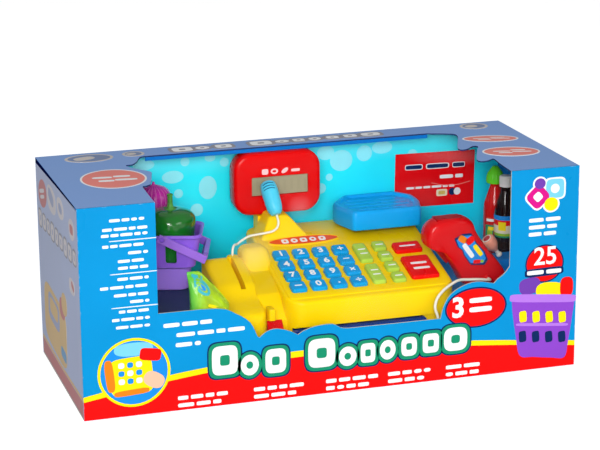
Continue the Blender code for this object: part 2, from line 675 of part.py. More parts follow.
def make_shell(key_holes):
    """The housing: body, raised keypad panel, name plate without a name, reader and display
    foot in one moulding, hollow underneath, with the drawer's opening and the key holes."""
    yellow = material("yellow_plastic", (0.95, 0.70, 0.0), 0.35)
    shell = body_shape(yellow)
    panel_length = SLOPE_LENGTH - PANEL_FRONT - PANEL_BORDER
    panel = rounded_rect(BODY_WIDTH / 2, PANEL_FRONT + panel_length / 2,
                         BODY_WIDTH - 2 * PANEL_BORDER, panel_length, 0.0060, 3)
    raised = panel_loft("panel", [(-SINK, panel), (0.0, panel)], yellow)
    plaque_v = FIRST_ROW_V + (KEY_ROWS - 1) * KEY_PITCH_V + PLAQUE_ZONE * 0.60
    oval = [(PLAQUE_INSET + PLAQUE_HALF[0] * math.cos(a), plaque_v + PLAQUE_HALF[1] * math.sin(a))
            for a in np.linspace(0, 2 * math.pi, 24, endpoint=False)]
    plaque = panel_loft("plaque", [(-SINK, oval), (PLAQUE_PROUD, oval)], yellow)
    neck, seat, neck_x = make_neck(yellow)
    join(shell, raised, plaque, *make_reader(yellow), neck, seat)

    opening = box("drawer_opening",
                  (BODY_LEFT + DRAWER_LEFT_INSET + 0.0005, FRONT_Y + LIP_DEPTH - SINK, SHELL_Z - SINK),
                  (BODY_RIGHT - DRAWER_RIGHT_INSET - 0.0005, FRONT_Y + BODY_CORNER, LIP_Z - 0.0015), yellow)
    hole_radius = PAN_STEM_RADIUS + KEY_SIDE_CLEARANCE
    stem_hole = turned("stem_hole", [(hole_radius, BODY_TOP - WALL - SINK), (hole_radius, BODY_TOP + SINK)],
                       24, yellow, pan_centre())
    cut(shell, housing_cavity(yellow), opening, key_holes, stem_hole)
    gland_at = (BODY_RIGHT - GLAND_INSET, FRONT_Y + LIP_DEPTH, TRAY_FLOOR + GLAND_RISE)
    gland = turned("cord_gland", [(0.0036, -SINK), (0.0036, 0.0020), (0.0026, GLAND_LENGTH)], 10, yellow,
                   axis_matrix=axis_frame(gland_at, (0, -1, 0)))
    join(shell, gland)
    bosses = []
    places = [(u, v) for v in BOSS_ROWS for u in (BOSS_LEFT, BODY_WIDTH - BOSS_RIGHT)]
    for k, (u, v) in enumerate(places):
        ring = [(u + BOSS_RADIUS * math.cos(a), v + BOSS_RADIUS * math.sin(a))
                for a in np.linspace(0, 2 * math.pi, 8, endpoint=False)]
        bosses.append(panel_loft(f"boss_{k}", [(PCB_TOP + GAP, ring), (-WALL + 0.0010, ring)], yellow))
    join(shell, *bosses)
    return neck_x


def make_inside():
    """Base pan with runners and the front foot, battery door, circuit board, rubber sheet,
    speaker."""
    red = material("red_pan", (0.75, 0.02, 0.02), 0.35)
    green = material("board_green", (0.02, 0.25, 0.08), 0.5)
    grey = material("rubber_grey", (0.35, 0.36, 0.38), 0.7)
    dark = material("speaker_dark", (0.03, 0.03, 0.03), 0.5)
    top = BASE_Z + BASE_THICK
    plan = rounded_rect((REGISTER_LEFT + BODY_RIGHT) / 2, (FRONT_Y + REAR_Y) / 2 + 0.001,
                        REGISTER_WIDTH - 0.003, REGISTER_DEPTH - 0.005, 0.014, 4)
    base = prism("register_base", plan, "z", BASE_Z, top, red)
    drawer_z = BASE_Z + BASE_THICK + DRAWER_LIFT
    left = BODY_LEFT + DRAWER_LEFT_INSET + 0.002
    right = BODY_RIGHT - DRAWER_RIGHT_INSET - 0.002
    for k, x in enumerate((left, right - RUNNER_WIDTH)):
        join(base, box(f"runner_{k}", (x, FRONT_Y + LIP_DEPTH + 0.0060, top - 0.0010),
                       (x + RUNNER_WIDTH, FRONT_Y + DRAWER_LENGTH, drawer_z - GAP), red))
    foot_top = EDGE_Z - FOOT_DROP
    foot_side = [(FRONT_Y + 0.0030, top - 0.0010), (FRONT_Y + 0.0030, foot_top - FOOT_SLANT),
                 (FRONT_Y + 0.0100, foot_top), (FRONT_Y + 0.0115, top - 0.0010)]
    foot_left = READER_RIGHT + 0.0005
    foot = prism("front_foot", foot_side, "x", foot_left, foot_left + FOOT_WIDTH, red)
    join(base, foot)
    door_high = (BODY_RIGHT - BATTERY_RIGHT_INSET, REAR_Y - BATTERY_REAR_INSET)
    door_low = (door_high[0] - BATTERY_DOOR[0], door_high[1] - BATTERY_DOOR[1])
    hole = box("battery_hole", (door_low[0] - GAP, door_low[1] - GAP, BASE_Z - BATTERY_DOOR_THICK),
               (door_high[0] + GAP, door_high[1] + GAP, top + BATTERY_DOOR_THICK), red)
    cut(base, hole)
    box("battery_door", (*door_low, BASE_Z), (*door_high, BASE_Z + BATTERY_DOOR_THICK), red)
    u0, u1 = 0.0050, BODY_WIDTH - 0.0050
    v0, v1 = 0.0120, FIRST_ROW_V + (KEY_ROWS - 1) * KEY_PITCH_V + 0.0160
    clip = BODY_CORNER * 0.6
    board = [(u0 + clip, v0), (u1 - clip, v0), (u1, v0 + clip), (u1, v1), (u0, v1), (u0, v0 + clip)]
    panel_loft("circuit_board", [(PCB_TOP - PCB_THICK, board), (PCB_TOP, board)], green)
    sheet = rounded_rect(BODY_WIDTH / 2, (v0 + v1) / 2 + 0.0005,
                         BODY_WIDTH - 0.0210, v1 - v0 - 0.0040, 0.0030, 2)
    panel_loft("key_membrane", [(MEMBRANE_TOP - MEMBRANE_THICK, sheet), (MEMBRANE_TOP, sheet)], grey)
    z = top + GAP
    radius = SPEAKER_RADIUS
    turned("speaker", [(radius, z), (radius, z + 0.003), (radius * 0.93, z + 0.0035),
                       (radius * 0.55, z + 0.007), (radius * 0.55, z + SPEAKER_HEIGHT)], 24, dark,
           (BODY_LEFT + SPEAKER_INSET, REAR_Y - WALL - radius - 0.0010))
    return drawer_z


def make_drawer(drawer_z):
    blue = material("drawer_blue", (0.01, 0.12, 0.55), 0.35)
    left = BODY_LEFT + DRAWER_LEFT_INSET + 0.0015
    right = BODY_RIGHT - DRAWER_RIGHT_INSET - 0.0015
    back = FRONT_Y + DRAWER_LENGTH
    face_front = FRONT_Y - 0.0040
    face_back = FRONT_Y + LIP_DEPTH - GAP * 2
    top = drawer_z + DRAWER_HEIGHT
    drawer = box("cash_drawer", (left, face_back - 0.001, drawer_z), (right, back, top), blue)
    face = box("drawer_face", (left - 0.0012, face_front, drawer_z),
               (right + 0.0012, face_back, LIP_Z - 0.0025), blue)
    join(drawer, face)
    split_y = FRONT_Y + 0.046
    rows = ((face_back + DRAWER_WALL, split_y, 4), (split_y + DRAWER_WALL, back - DRAWER_WALL, 3))
    for row, (low_y, high_y, count) in enumerate(rows):
        width = (right - left - DRAWER_WALL * (count + 1)) / count
        for k in range(count):
            x = left + DRAWER_WALL + k * (width + DRAWER_WALL)
            cut(drawer, box(f"drawer_cup_{row}_{k}", (x, low_y, drawer_z + DRAWER_WALL),
                            (x + width, high_y, top + 0.001), blue))


def pan_centre():
    """Where the weighing pan's stem goes through the housing's top."""
    return BODY_RIGHT + PAN_OVERHANG - PAN_WIDTH / 2, BACKDROP_Y - 0.0040 - PAN_DEPTH / 2


def make_pan():
    """A hollow eight-sided pan on a stem, kept in the housing by a collar under its roof."""
    blue = material("pan_blue", (0.02, 0.36, 0.75), 0.35)
    cx, cy = pan_centre()
    low = BODY_TOP + PAN_TRAVEL + GAP + 0.0001

    corners = [(-0.81, -1.0), (0.81, -1.0), (1.0, -0.19), (1.0, 0.43), (0.69, 1.0), (-0.56, 1.0),
               (-1.0, 0.27), (-1.0, -0.08)]

    def ring(inset, z):
        half_w, half_d = PAN_WIDTH / 2 - inset, PAN_DEPTH / 2 - inset
        return [(cx + a * half_w, cy + b * half_d, z) for a, b in corners]

    top = low + PAN_HEIGHT
    pan = loft("scale_pan", [ring(PAN_WALL, low + 0.0185), ring(PAN_WALL, low), ring(0.0010, low),
                             ring(0.0, low + 0.002), ring(0.0, top - 0.003), ring(0.0025, top),
                             ring(0.0080, top), ring(0.0095, top - 0.0015)], blue)
    roof = BODY_TOP - WALL
    radius = PAN_STEM_RADIUS
    stem = turned("pan_stem", [(radius + 0.003, roof - GAP - PAN_TRAVEL - 0.003),
                               (radius + 0.003, roof - GAP), (radius, roof - GAP),
                               (radius, low + 0.0190)], 24, blue, (cx, cy))
    join(pan, stem)


def make_display(neck_x):
    red = material("display_red", (0.80, 0.0, 0.0), 0.25)
    lcd = material("lcd_grey", (0.30, 0.31, 0.22), 0.2)
    cx = DISPLAY_X + DISPLAY_WIDTH / 2
    cz = DISPLAY_Z + DISPLAY_HEIGHT / 2

    def ring(y, inset):
        outline = rounded_rect(cx, cz, DISPLAY_WIDTH - 2 * inset, DISPLAY_HEIGHT - 2 * inset,
                               DISPLAY_CORNER - inset * 0.6, 5)
        return [(x, y, z) for x, z in outline]

    rear = DISPLAY_Y + DISPLAY_DEPTH
    head = loft("display_housing", [ring(DISPLAY_Y, 0.0035), ring(DISPLAY_Y + 0.0012, 0.0012),
                                    ring(DISPLAY_Y + 0.0040, 0.0), ring(rear - 0.0060, 0.0),
                                    ring(rear - 0.0015, 0.0015), ring(rear, 0.0040)], red)
    inner = box("display_cavity", (DISPLAY_X + WALL * 2, DISPLAY_Y + 0.0075, DISPLAY_Z + WALL * 2),
                (DISPLAY_X + DISPLAY_WIDTH - WALL * 2, rear - WALL,
                 DISPLAY_Z + DISPLAY_HEIGHT - WALL * 2), red)
    wire = box("display_wire_way", (neck_x - 0.010, DISPLAY_Y + 0.0080, DISPLAY_Z - 0.001),
               (neck_x, DISPLAY_Y + 0.0140, DISPLAY_Z + WALL * 2 + 0.001), red)
    x0 = DISPLAY_X + LCD_INSET[0]
    z0 = DISPLAY_Z + LCD_INSET[1]
    pocket = box("lcd_pocket", (x0 - GAP, DISPLAY_Y - 0.001, z0 - GAP),
                 (x0 + LCD_SIZE[0] + GAP, DISPLAY_Y + 0.0035, z0 + LCD_SIZE[1] + GAP), red)
    cut(head, inner, wire, pocket)
    box("lcd_window", (x0, DISPLAY_Y + 0.0035 - GAP - LCD_THICK, z0),
        (x0 + LCD_SIZE[0], DISPLAY_Y + 0.0035 - GAP, z0 + LCD_SIZE[1]), lcd)


def make_microphone(neck_x):
    """A capsule that stands on the neck and leans on the display; its cord runs round the
    housing's shoulder to the knob on the card reader."""
    pale = material("mic_blue", (0.10, 0.60, 0.88), 0.3)
    white = material("cord_white", (0.85, 0.83, 0.78), 0.5)
    foot = Vector((neck_x - 0.0050, DISPLAY_Y - 0.0300, BODY_TOP + NECK_RISE + 0.0024))
    head_y = DISPLAY_Y - GAP - MIC_RADIUS * 0.88
    head = Vector((neck_x - 0.0100, head_y, foot.z + MIC_LENGTH * 0.90))
    frame = axis_frame(foot, head - foot)
    shares = ((0.435, 0.0), (0.565, 0.020), (0.783, 0.18), (0.935, 0.36), (1.0, 0.615), (0.98, 0.77),
              (0.85, 0.91), (0.5, 0.98), (0.15, 1.0))
    profile = [(MIC_RADIUS * r, MIC_LENGTH * z) for r, z in shares]
    turned("microphone", profile, 20, pale, axis_matrix=frame)
    x, y, z = frame @ Vector((0.0, 0.0, -GAP))
    top = BODY_TOP
    knob_x, knob_y = READER_RIGHT - KNOB_INSET, FRONT_Y + KNOB_BACK
    knob_top = EDGE_Z + KNOB_FOOT + KNOB_HEIGHT
    route = [(x, y, z), tuple(frame @ Vector((0.0, 0.0, -0.0032))),
             (x + 0.0008, y - 0.0036, z - 0.0072), (x - 0.0014, y - 0.0066, z - 0.0120),
             (x - 0.0070, y - 0.0086, top + 0.0086), (x - 0.0145, y - 0.0090, top + 0.0075),
             (x - 0.0250, y - 0.0080, top + 0.0062),
             (BODY_LEFT - 0.0070, y - 0.0060, top + 0.0045),
             (BODY_LEFT - 0.0150, y - 0.0070, top + 0.0010),
             (READER_RIGHT - 0.0002, y - 0.0104, top - 0.0016),
             (knob_x + 0.0042, knob_y + 0.0062, knob_top + 0.0095),
             (knob_x + 0.0013, knob_y + 0.0020, knob_top + 0.0079),
             (knob_x, knob_y, knob_top + 0.0042), (knob_x, knob_y, knob_top + GAP)]
    cord("microphone_cord", route, MIC_CORD, white)


def make_scanner(front_inside):
    """The hand scanner, lying on its side with its window up, its trigger under the head and
    its cord, which goes over the housing's corner and into the gland under the lip."""
    red = material("scanner_red", (0.72, 0.0, 0.01), 0.3)
    grey = material("trigger_grey", (0.55, 0.02, 0.02), 0.4)
    white = material("scanner_cord_white", (0.88, 0.86, 0.78), 0.5)
    x0 = BODY_RIGHT - SCANNER_LEFT_OF_EDGE
    z0 = RIGHT_PLATFORM + GAP
    outline = [(0.0, 0.742), (0.032, 0.881), (0.119, 0.962), (0.259, 0.994), (0.400, 1.0),
               (0.508, 0.975), (0.584, 0.906), (0.627, 0.780), (0.757, 0.553), (0.897, 0.352),
               (1.0, 0.176), (0.995, 0.075), (0.908, 0.015), (0.714, 0.0025), (0.541, 0.015),
               (0.454, 0.094), (0.400, 0.214), (0.303, 0.390), (0.205, 0.528), (0.086, 0.579),
               (0.022, 0.642)]
    shape = smooth([(x0 + a * SCANNER_LENGTH, z0 + b * SCANNER_HEIGHT) for a, b in outline], 2, closed=True)
    centre = np.mean(np.array(shape), axis=0)
    middle = FRONT_Y + SCANNER_BACK
    half = SCANNER_THICK / 2
    edges = ((0.0, 0.80), (0.0025, 0.93), (0.0070, 1.0))

    def ring(y, scale):
        return [(centre[0] + (a - centre[0]) * scale, y, max(centre[1] + (b - centre[1]) * scale, z0))
                for a, b in shape]

    rings = [ring(middle - half + inset, scale) for inset, scale in edges]
    rings += [ring(middle + half - inset, scale) for inset, scale in edges[::-1]]
    body = loft("scanner_body", rings, red)
    exit_x, exit_z = x0 + 0.0690, z0 + 0.0110
    gland = turned("scanner_gland", [(0.0036, -0.0060), (0.0036, 0.0020), (0.0025, 0.0042)], 10, red,
                   axis_matrix=axis_frame((exit_x, middle - half + 0.0010, exit_z), (0, -1, 0)))
    join(body, gland)
    window = box("scanner_window", (x0 + 0.0135, middle - 0.0080, z0 + SCANNER_HEIGHT - 0.0055),
                 (x0 + 0.0425, middle + 0.0080, z0 + SCANNER_HEIGHT + 0.0100), red)
    cut(body, window)

    seat = Vector((x0 + 0.0245, middle, z0 + 0.0375))
    turn = Matrix.Rotation(TRIGGER_LEAN, 4, "Y")

    def block(name, low, high, finish):
        item = box(name, low, high, finish)
        item.data.transform(turn)
        item.location = seat
        return item

    long, deep, tall = TRIGGER_HALF
    slot = block("trigger_slot", (-long - 0.0060, -deep - GAP, -tall - GAP),
                 (long + TRIGGER_TRAVEL + GAP, deep + GAP, tall + GAP), red)
    cut(body, slot)
    block("scanner_trigger", (-long - 0.0005, -deep, -tall), (long, deep, tall), grey)

    y_exit = middle - half - 0.0032 - GAP - 0.0001
    face = FRONT_Y
    floor = TRAY_FLOOR + CORD / 2 + GAP
    lane_front = front_inside + 0.0030
    lane_back = lane_front + 2 * CORD_TURN
    right = BODY_RIGHT
    gland_x = BODY_RIGHT - GLAND_INSET
    gland_z = TRAY_FLOOR + GLAND_RISE
    gland_y = face + LIP_DEPTH - GLAND_LENGTH - GAP
    turn_x = BODY_LEFT
    half_turn = CORD_TURN * math.sin(math.pi / 4)
    short_turn = CORD_TURN - half_turn
    route = [(exit_x, y_exit, exit_z), (exit_x, y_exit - 0.0040, exit_z + 0.0002),
             (exit_x - 0.0022, y_exit - 0.0096, exit_z + 0.0016),
             (exit_x - 0.0080, y_exit - 0.0126, exit_z + 0.0032),
             (exit_x - 0.0170, y_exit - 0.0137, exit_z + 0.0048),
             (right + 0.0146, face + 0.0080, EDGE_Z + 0.0030),
             (right + 0.0050, face + 0.0060, EDGE_Z + 0.0042),
             (right - 0.0035, face + 0.0010, EDGE_Z + 0.0040),
             (right - 0.0165, face - 0.0050, EDGE_Z - 0.0005),
             (right - 0.0255, face - 0.0095, EDGE_Z - 0.0064),
             (right - 0.0295, face - 0.0120, EDGE_Z - 0.0130),
             (right - 0.0300, face - 0.0133, EDGE_Z - 0.0190),
             (right - 0.0275, face - 0.0140, EDGE_Z - 0.0270),
             (right - 0.0270, face - 0.0143, EDGE_Z - 0.0370),
             (right - 0.0280, face - 0.0148, EDGE_Z - 0.0480),
             (right - 0.0318, face - 0.0155, floor + 0.0060),
             (right - 0.0390, lane_front + 0.0005, floor + 0.0011),
             (right - 0.0480, lane_front, floor), (right - 0.0700, lane_front, floor),
             (turn_x + 0.0500, lane_front, floor), (turn_x + 0.0060, lane_front, floor),
             (turn_x, lane_front, floor), (turn_x - half_turn, lane_front + short_turn, floor),
             (turn_x - CORD_TURN, lane_front + CORD_TURN, floor),
             (turn_x - half_turn, lane_back - short_turn, floor), (turn_x, lane_back, floor),
             (turn_x + 0.0060, lane_back, floor), (turn_x + 0.0500, lane_back, floor),
             (turn_x + 0.1100, lane_back, floor), (gland_x - 0.0340, lane_back - 0.0035, floor),
             (gland_x - 0.0180, lane_back - 0.0100, floor + 0.0003),
             (gland_x - 0.0085, lane_back - 0.0128, floor + 0.0030),
             (gland_x - 0.0026, lane_back - 0.0128, floor + 0.0084),
             (gland_x - 0.0003, lane_back - 0.0092, gland_z - 0.0014),
             (gland_x, lane_back - 0.0040, gland_z), (gland_x, gland_y, gland_z)]
    cord("scanner_cord", route, CORD, white)


def make_bank_card():
    red = material("card_red", (0.72, 0.0, 0.05), 0.3)
    width, height = CARD_SIZE
    card = box("bank_card", (-width / 2, -CARD_THICK, -height / 2), (width / 2, 0.0, height / 2), red)
    card.data.transform(Matrix.Rotation(CARD_LEAN, 4, "Y"))
    card.location = (BODY_RIGHT + CARD_RIGHT_OF_EDGE, BACKDROP_Y - GAP, BODY_TOP + CARD_RISE)


def make_basket():
    """A tapered shopping basket with a step, slots in its walls and a strap handle."""
    purple = material("basket_purple", (0.25, 0.08, 0.60), 0.35)
    dark = material("handle_purple", (0.30, 0.12, 0.65), 0.35)
    corner = Vector((REGISTER_LEFT - BASKET_PLACE[0], FRONT_Y + BASKET_PLACE[1], 0.0))
    along = Vector((math.cos(BASKET_TURN), math.sin(BASKET_TURN), 0.0))
    across = Vector((-math.sin(BASKET_TURN), math.cos(BASKET_TURN), 0.0))
    centre = corner - along * BASKET_LENGTH / 2 + across * BASKET_WIDTH / 2
    floor = LEFT_PLATFORM + GAP
    turn = Matrix.Translation(centre) @ Matrix.Rotation(BASKET_TURN, 4, "Z")

    def ring(inset, z):
        outline = rounded_rect(0.0, 0.0, BASKET_LENGTH - 2 * inset, BASKET_WIDTH - 2 * inset,
                               BASKET_CORNER, 3)
        return [turn @ Vector((x, y, floor + z)) for x, y in outline]

    wall = BASKET_WALL
    step, rim = BASKET_STEP, BASKET_HEIGHT
    basket = loft("basket", [ring(0.0100 + wall, wall), ring(0.0080 + wall, step),
                             ring(0.0035 + wall, step + wall), ring(0.0015 + wall, rim), ring(0.0, rim),
                             ring(0.0, rim - 0.0040), ring(0.0015, rim - 0.0045), ring(0.0035, step),
                             ring(0.0080, step - wall), ring(0.0100, 0.0)], purple)
    slots = bmesh.new()

    def add_slot(low, high):
        corners = [(a, b, c) for c in (low[2], high[2]) for a, b in
                   ((low[0], low[1]), (high[0], low[1]), (high[0], high[1]), (low[0], high[1]))]
        verts = [slots.verts.new(turn @ Vector((a, b, floor + c))) for a, b, c in corners]
        sides = ((3, 2, 1, 0), (4, 5, 6, 7), (0, 1, 5, 4), (1, 2, 6, 5), (2, 3, 7, 6), (3, 0, 4, 7))
        for face in sides:
            slots.faces.new([verts[k] for k in face])

    reach = BASKET_LENGTH
    tiers = ((step + 0.0055, rim - 0.0090, 0.0158, 0.0058, 0.0130, 0.0045),
             (0.0060, step - 0.0055, 0.0130, 0.0045, 0.0110, 0.0036))
    for low_z, high_z, pitch, half_slot, end_pitch, end_half in tiers:
        for k in (-2, -1, 0, 1, 2):
            if k == 0 and low_z > step:
                continue
            x = k * pitch
            add_slot((x - half_slot, -reach, low_z), (x + half_slot, -0.0100, high_z))
            add_slot((x - half_slot, 0.0100, low_z), (x + half_slot, reach, high_z))
        for k in (-1, 0, 1):
            y = k * end_pitch
            add_slot((-reach, y - end_half, low_z), (-0.0300, y + end_half, high_z))
            add_slot((0.0300, y - end_half, low_z), (reach, y + end_half, high_z))
    cutter = place("basket_slots", slots, purple)
    cut(basket, cutter)
    half = BASKET_WIDTH / 2
    pivot = turn @ Vector((BASKET_LENGTH / 2 - PIVOT_INSET, 0.0, 0.0))
    pivot.z = floor + rim - PIVOT_DROP
    for side in (-1, 1):
        pin = turned(f"handle_pin_{side}", [(PIN_RADIUS, 0.0), (PIN_RADIUS, 0.0062)], 12, purple,
                     axis_matrix=axis_frame(pivot + across * side * (half - 0.0038), across * side))
        join(basket, pin)

    arm_half = HANDLE_ARM_HALF
    inner = half + GAP + 0.0002
    outer = inner + HANDLE_THICK
    arm = HANDLE_ARM
    bar_low, bar_high = arm - 0.0045, arm + 0.0005
    outline = [(-arm_half, -outer), (bar_high, -outer), (bar_high, outer), (-arm_half, outer),
               (-arm_half, inner), (bar_low, inner), (bar_low, -inner), (-arm_half, -inner)]
    handle = prism("basket_handle", outline, "z", -arm_half, arm_half, dark)
    for side in (-1, 1):
        hole_radius = PIN_RADIUS + PIN_CLEARANCE
        hole = turned(f"handle_hole_{side}", [(hole_radius, -0.0030), (hole_radius, 0.0080)], 12,
                      dark, axis_matrix=axis_frame((0.0, side * (inner - 0.0010), 0.0), (0, side, 0)))
        hole.parent = handle
        cut(handle, hole)
    turn_down = Matrix.Rotation(BASKET_TURN, 4, "Z") @ Matrix.Rotation(-HANDLE_REST, 4, "Y")
    handle.matrix_world = Matrix.Translation(pivot) @ turn_down
    return centre, along, across, floor


def make_food(centre, along, across, floor):
    """Pepper and onion in the basket, and the pouch in front of it."""
    green = material("pepper_green", (0.01, 0.18, 0.03), 0.25)
    magenta = material("onion_magenta", (0.42, 0.04, 0.20), 0.35)
    lime = material("pouch_lime", (0.42, 0.62, 0.02), 0.4)
    spot = centre + along * PEPPER_PLACE
    low = floor + BASKET_STEP + GAP - 0.09 * PEPPER_HEIGHT
    radius, height = PEPPER_RADIUS, PEPPER_HEIGHT
    rings = []
    profile = ((0.0, 0.45), (0.03, 0.72), (0.09, 0.88), (0.30, 0.97), (0.70, 1.0), (0.88, 0.88),
               (0.96, 0.62), (0.985, 0.34), (0.965, 0.20), (1.06, 0.15), (1.22, 0.13), (1.24, 0.08))
    for share, wide in profile:
        lobes = 0.03 if wide > 0.3 else 0.0
        rings.append([(spot.x + radius * wide * (1 + lobes * math.cos(3 * a)) * math.cos(a),
                       spot.y + radius * wide * (1 + lobes * math.cos(3 * a)) * math.sin(a),
                       low + height * share)
                      for a in np.linspace(0, 2 * math.pi, 24, endpoint=False)])
    loft("pepper", rings, green)

    size = ONION_RADIUS
    place_on = centre + across * (BASKET_WIDTH / 2 + 0.0035) - along * 0.0058
    rim = floor + BASKET_HEIGHT
    base = rim + GAP
    profile = [(0.16, 0.0), (0.43, 0.03), (0.78, 0.42), (1.0, 0.95), (0.93, 1.30), (0.62, 1.68),
               (0.24, 1.88), (0.13, 2.20), (0.065, 2.25)]
    turned("onion", [(size * r, base + size * z) for r, z in profile], 20, magenta,
           (place_on.x, place_on.y))

    width, thick, tall = POUCH_SIZE
    px = REGISTER_LEFT + 0.0050 - width / 2
    py = FRONT_Y - GAP - thick / 2
    rings = []
    sections = ((0.0, 0.92, 0.62, 0.0), (0.04, 0.97, 0.86, 0.0), (0.25, 0.93, 1.0, 0.0),
                (0.55, 0.94, 0.94, 0.017), (0.80, 0.98, 0.55, 0.11), (0.92, 1.0, 0.16, 0.22),
                (1.0, 1.0, 0.08, 0.25))
    for share, wide, deep, lean in sections:
        outline = rounded_rect(0.0, 0.0, width * wide, thick * deep, thick * min(deep, 0.98) * 0.48, 4)
        rings.append([(px + a, py + thick * lean + b, LEFT_PLATFORM + GAP + tall * share)
                      for a, b in outline])
    loft("pouch", rings, lime)


def make_bottles():
    """Sauce bottle and cola bottle at the back of the right platform, and the ham on its step.
    Profiles hold shares of the radius and of the height."""
    red = material("sauce_red", (0.55, 0.01, 0.01), 0.2)
    green = material("cap_green", (0.02, 0.40, 0.08), 0.35)
    cola = material("cola_dark", (0.05, 0.01, 0.01), 0.15)
    white = material("cap_white", (0.85, 0.85, 0.85), 0.35)
    floor = RIGHT_PLATFORM + GAP
    x = BODY_RIGHT + BOTTLE_RIGHT_OF_EDGE

    def bottle(name, radius, height, low, profile, y, finish):
        turned(name, [(radius * r, low + height * z) for r, z in profile], 24, finish, (x, y))

    sauce = ((0.80, 0.0), (0.97, 0.018), (1.0, 0.072), (1.0, 0.62), (0.88, 0.75), (0.52, 0.92), (0.44, 1.0))
    sauce_y = FRONT_Y + SAUCE_BACK
    bottle("sauce_bottle", SAUCE_RADIUS, SAUCE_HEIGHT, floor, sauce, sauce_y, red)
    cap = ((0.64, 0.0), (0.67, 0.054), (0.64, 0.50), (0.48, 0.62), (0.27, 0.90), (0.21, 1.0))
    bottle("sauce_cap", SAUCE_RADIUS, SAUCE_CAP_HEIGHT, floor + SAUCE_HEIGHT + GAP, cap, sauce_y, green)

    drink = ((0.78, 0.0), (1.0, 0.035), (1.0, 0.20), (0.90, 0.30), (1.0, 0.42), (1.0, 0.64),
             (0.80, 0.80), (0.46, 0.94), (0.46, 1.0))
    cola_y = FRONT_Y + COLA_BACK
    bottle("cola_bottle", COLA_RADIUS, COLA_HEIGHT, floor, drink, cola_y, cola)
    lid = ((1.0, 0.0), (1.0, 0.92), (0.86, 1.0))
    bottle("cola_cap", COLA_CAP_RADIUS, COLA_CAP_HEIGHT, floor + COLA_HEIGHT + GAP, lid, cola_y, white)

    pink = material("ham_pink", (0.80, 0.30, 0.22), 0.4)
    right, back, rise = HAM_PLACE
    start = Vector((BODY_RIGHT + right, FRONT_Y + back, RIGHT_PLATFORM + STEP_RISE + rise))
    profile = ((0.55, -0.385), (0.95, -0.192), (1.0, 0.192), (0.95, 0.897), (0.55, 1.667), (0.30, 2.05),
               (0.28, 2.63), (0.42, 2.76), (0.40, 3.08), (0.15, 3.23))
    turned("ham", [(HAM_RADIUS * r, HAM_RADIUS * z) for r, z in profile], 18, pink,
           axis_matrix=axis_frame(start, HAM_AXIS))


def main():
    remove_objects()
    inner_x, inner_y = make_carton()
    front_inside = make_tray(inner_x, inner_y)
    key_holes = make_keys()
    neck_x = make_shell(key_holes)
    drawer_z = make_inside()
    make_drawer(drawer_z)
    make_pan()
    make_display(neck_x)
    make_microphone(neck_x)
    make_scanner(front_inside)
    make_bank_card()
    make_food(*make_basket())
    make_bottles()


main()
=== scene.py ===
"""Looks of the boxed toy shop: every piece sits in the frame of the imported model."""
from math import atan2, cos, pi, radians, sin, sqrt, tan

import bmesh
import bpy
import numpy as np
from mathutils import Matrix, Vector


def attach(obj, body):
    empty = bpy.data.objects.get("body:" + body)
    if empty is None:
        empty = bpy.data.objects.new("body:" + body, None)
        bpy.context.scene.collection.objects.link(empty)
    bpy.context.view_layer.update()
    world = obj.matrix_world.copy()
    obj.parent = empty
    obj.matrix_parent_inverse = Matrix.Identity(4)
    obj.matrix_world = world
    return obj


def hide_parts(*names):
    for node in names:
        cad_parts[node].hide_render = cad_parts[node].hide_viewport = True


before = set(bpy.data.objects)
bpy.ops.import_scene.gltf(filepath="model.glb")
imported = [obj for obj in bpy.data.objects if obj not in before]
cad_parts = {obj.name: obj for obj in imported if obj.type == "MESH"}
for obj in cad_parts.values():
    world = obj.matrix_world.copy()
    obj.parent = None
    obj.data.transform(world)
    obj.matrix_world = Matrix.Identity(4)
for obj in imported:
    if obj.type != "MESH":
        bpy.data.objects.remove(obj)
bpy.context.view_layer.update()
ROOT = "carton_and_toys"

# ---------------------------------------------------------------- places shared by the pieces
# Sizes and places of the model, in metres, with the same names as in its source.
HALF_W, HALF_D, HEIGHT = 0.2651, 0.10999, 0.21877
GAP, BOARD, WALL, PAN_AT = 0.0003, 0.0015, 0.003, (0.1011, 0.05899)
FRONT_Y, REAR_Y, BACKDROP_Y = -0.08799, 0.08599, 0.09999
REGISTER_LEFT, READER_RIGHT, BODY_LEFT, BODY_RIGHT = -0.1101, -0.0661, -0.0451, 0.1401
EDGE_Z, BODY_TOP, SHELL_Z, LIP_Z = 0.0939, 0.12777, 0.0316, 0.066
SLOPE, SLOPE_LENGTH = radians(14.7), 0.1382
BODY_WIDTH, WINDOW_MIDDLE, WINDOW_HALF = BODY_RIGHT - BODY_LEFT, 0.0009, 0.1885
LEFT_PLATFORM, RIGHT_PLATFORM, STEP_RISE = 0.09, 0.08, 0.016


def added(name, data):
    """A new object in the scene."""
    item = bpy.data.objects.new(name, data)
    bpy.context.scene.collection.objects.link(item)
    return item


# ---------------------------------------------------------------- camera
# The photograph's view: from the front, a little left and above, with a long lens.
CAMERA_AT = (-0.63360018, -2.0341677, 0.75345319)
CAMERA_TURN, CAMERA_RISE, CAMERA_ROLL = (radians(a) for a in (-17.1677, 15.832, -0.4488))
camera_data = bpy.data.cameras.new("camera")
camera_data.lens, camera_data.sensor_width = 125.485, 36.0
camera = added("camera", camera_data)
back = Vector((sin(CAMERA_TURN) * cos(CAMERA_RISE),
               -cos(CAMERA_TURN) * cos(CAMERA_RISE), sin(CAMERA_RISE)))
level = (-back).cross(Vector((0, 0, 1))).normalized()
upright = level.cross(-back)
right = cos(CAMERA_ROLL) * level + sin(CAMERA_ROLL) * upright
up = -sin(CAMERA_ROLL) * level + cos(CAMERA_ROLL) * upright
camera.matrix_world = Matrix.Translation(CAMERA_AT) @ Matrix((right, up, back)).transposed().to_4x4()
bpy.context.scene.camera = camera
bpy.context.scene.view_settings.view_transform = "Standard"


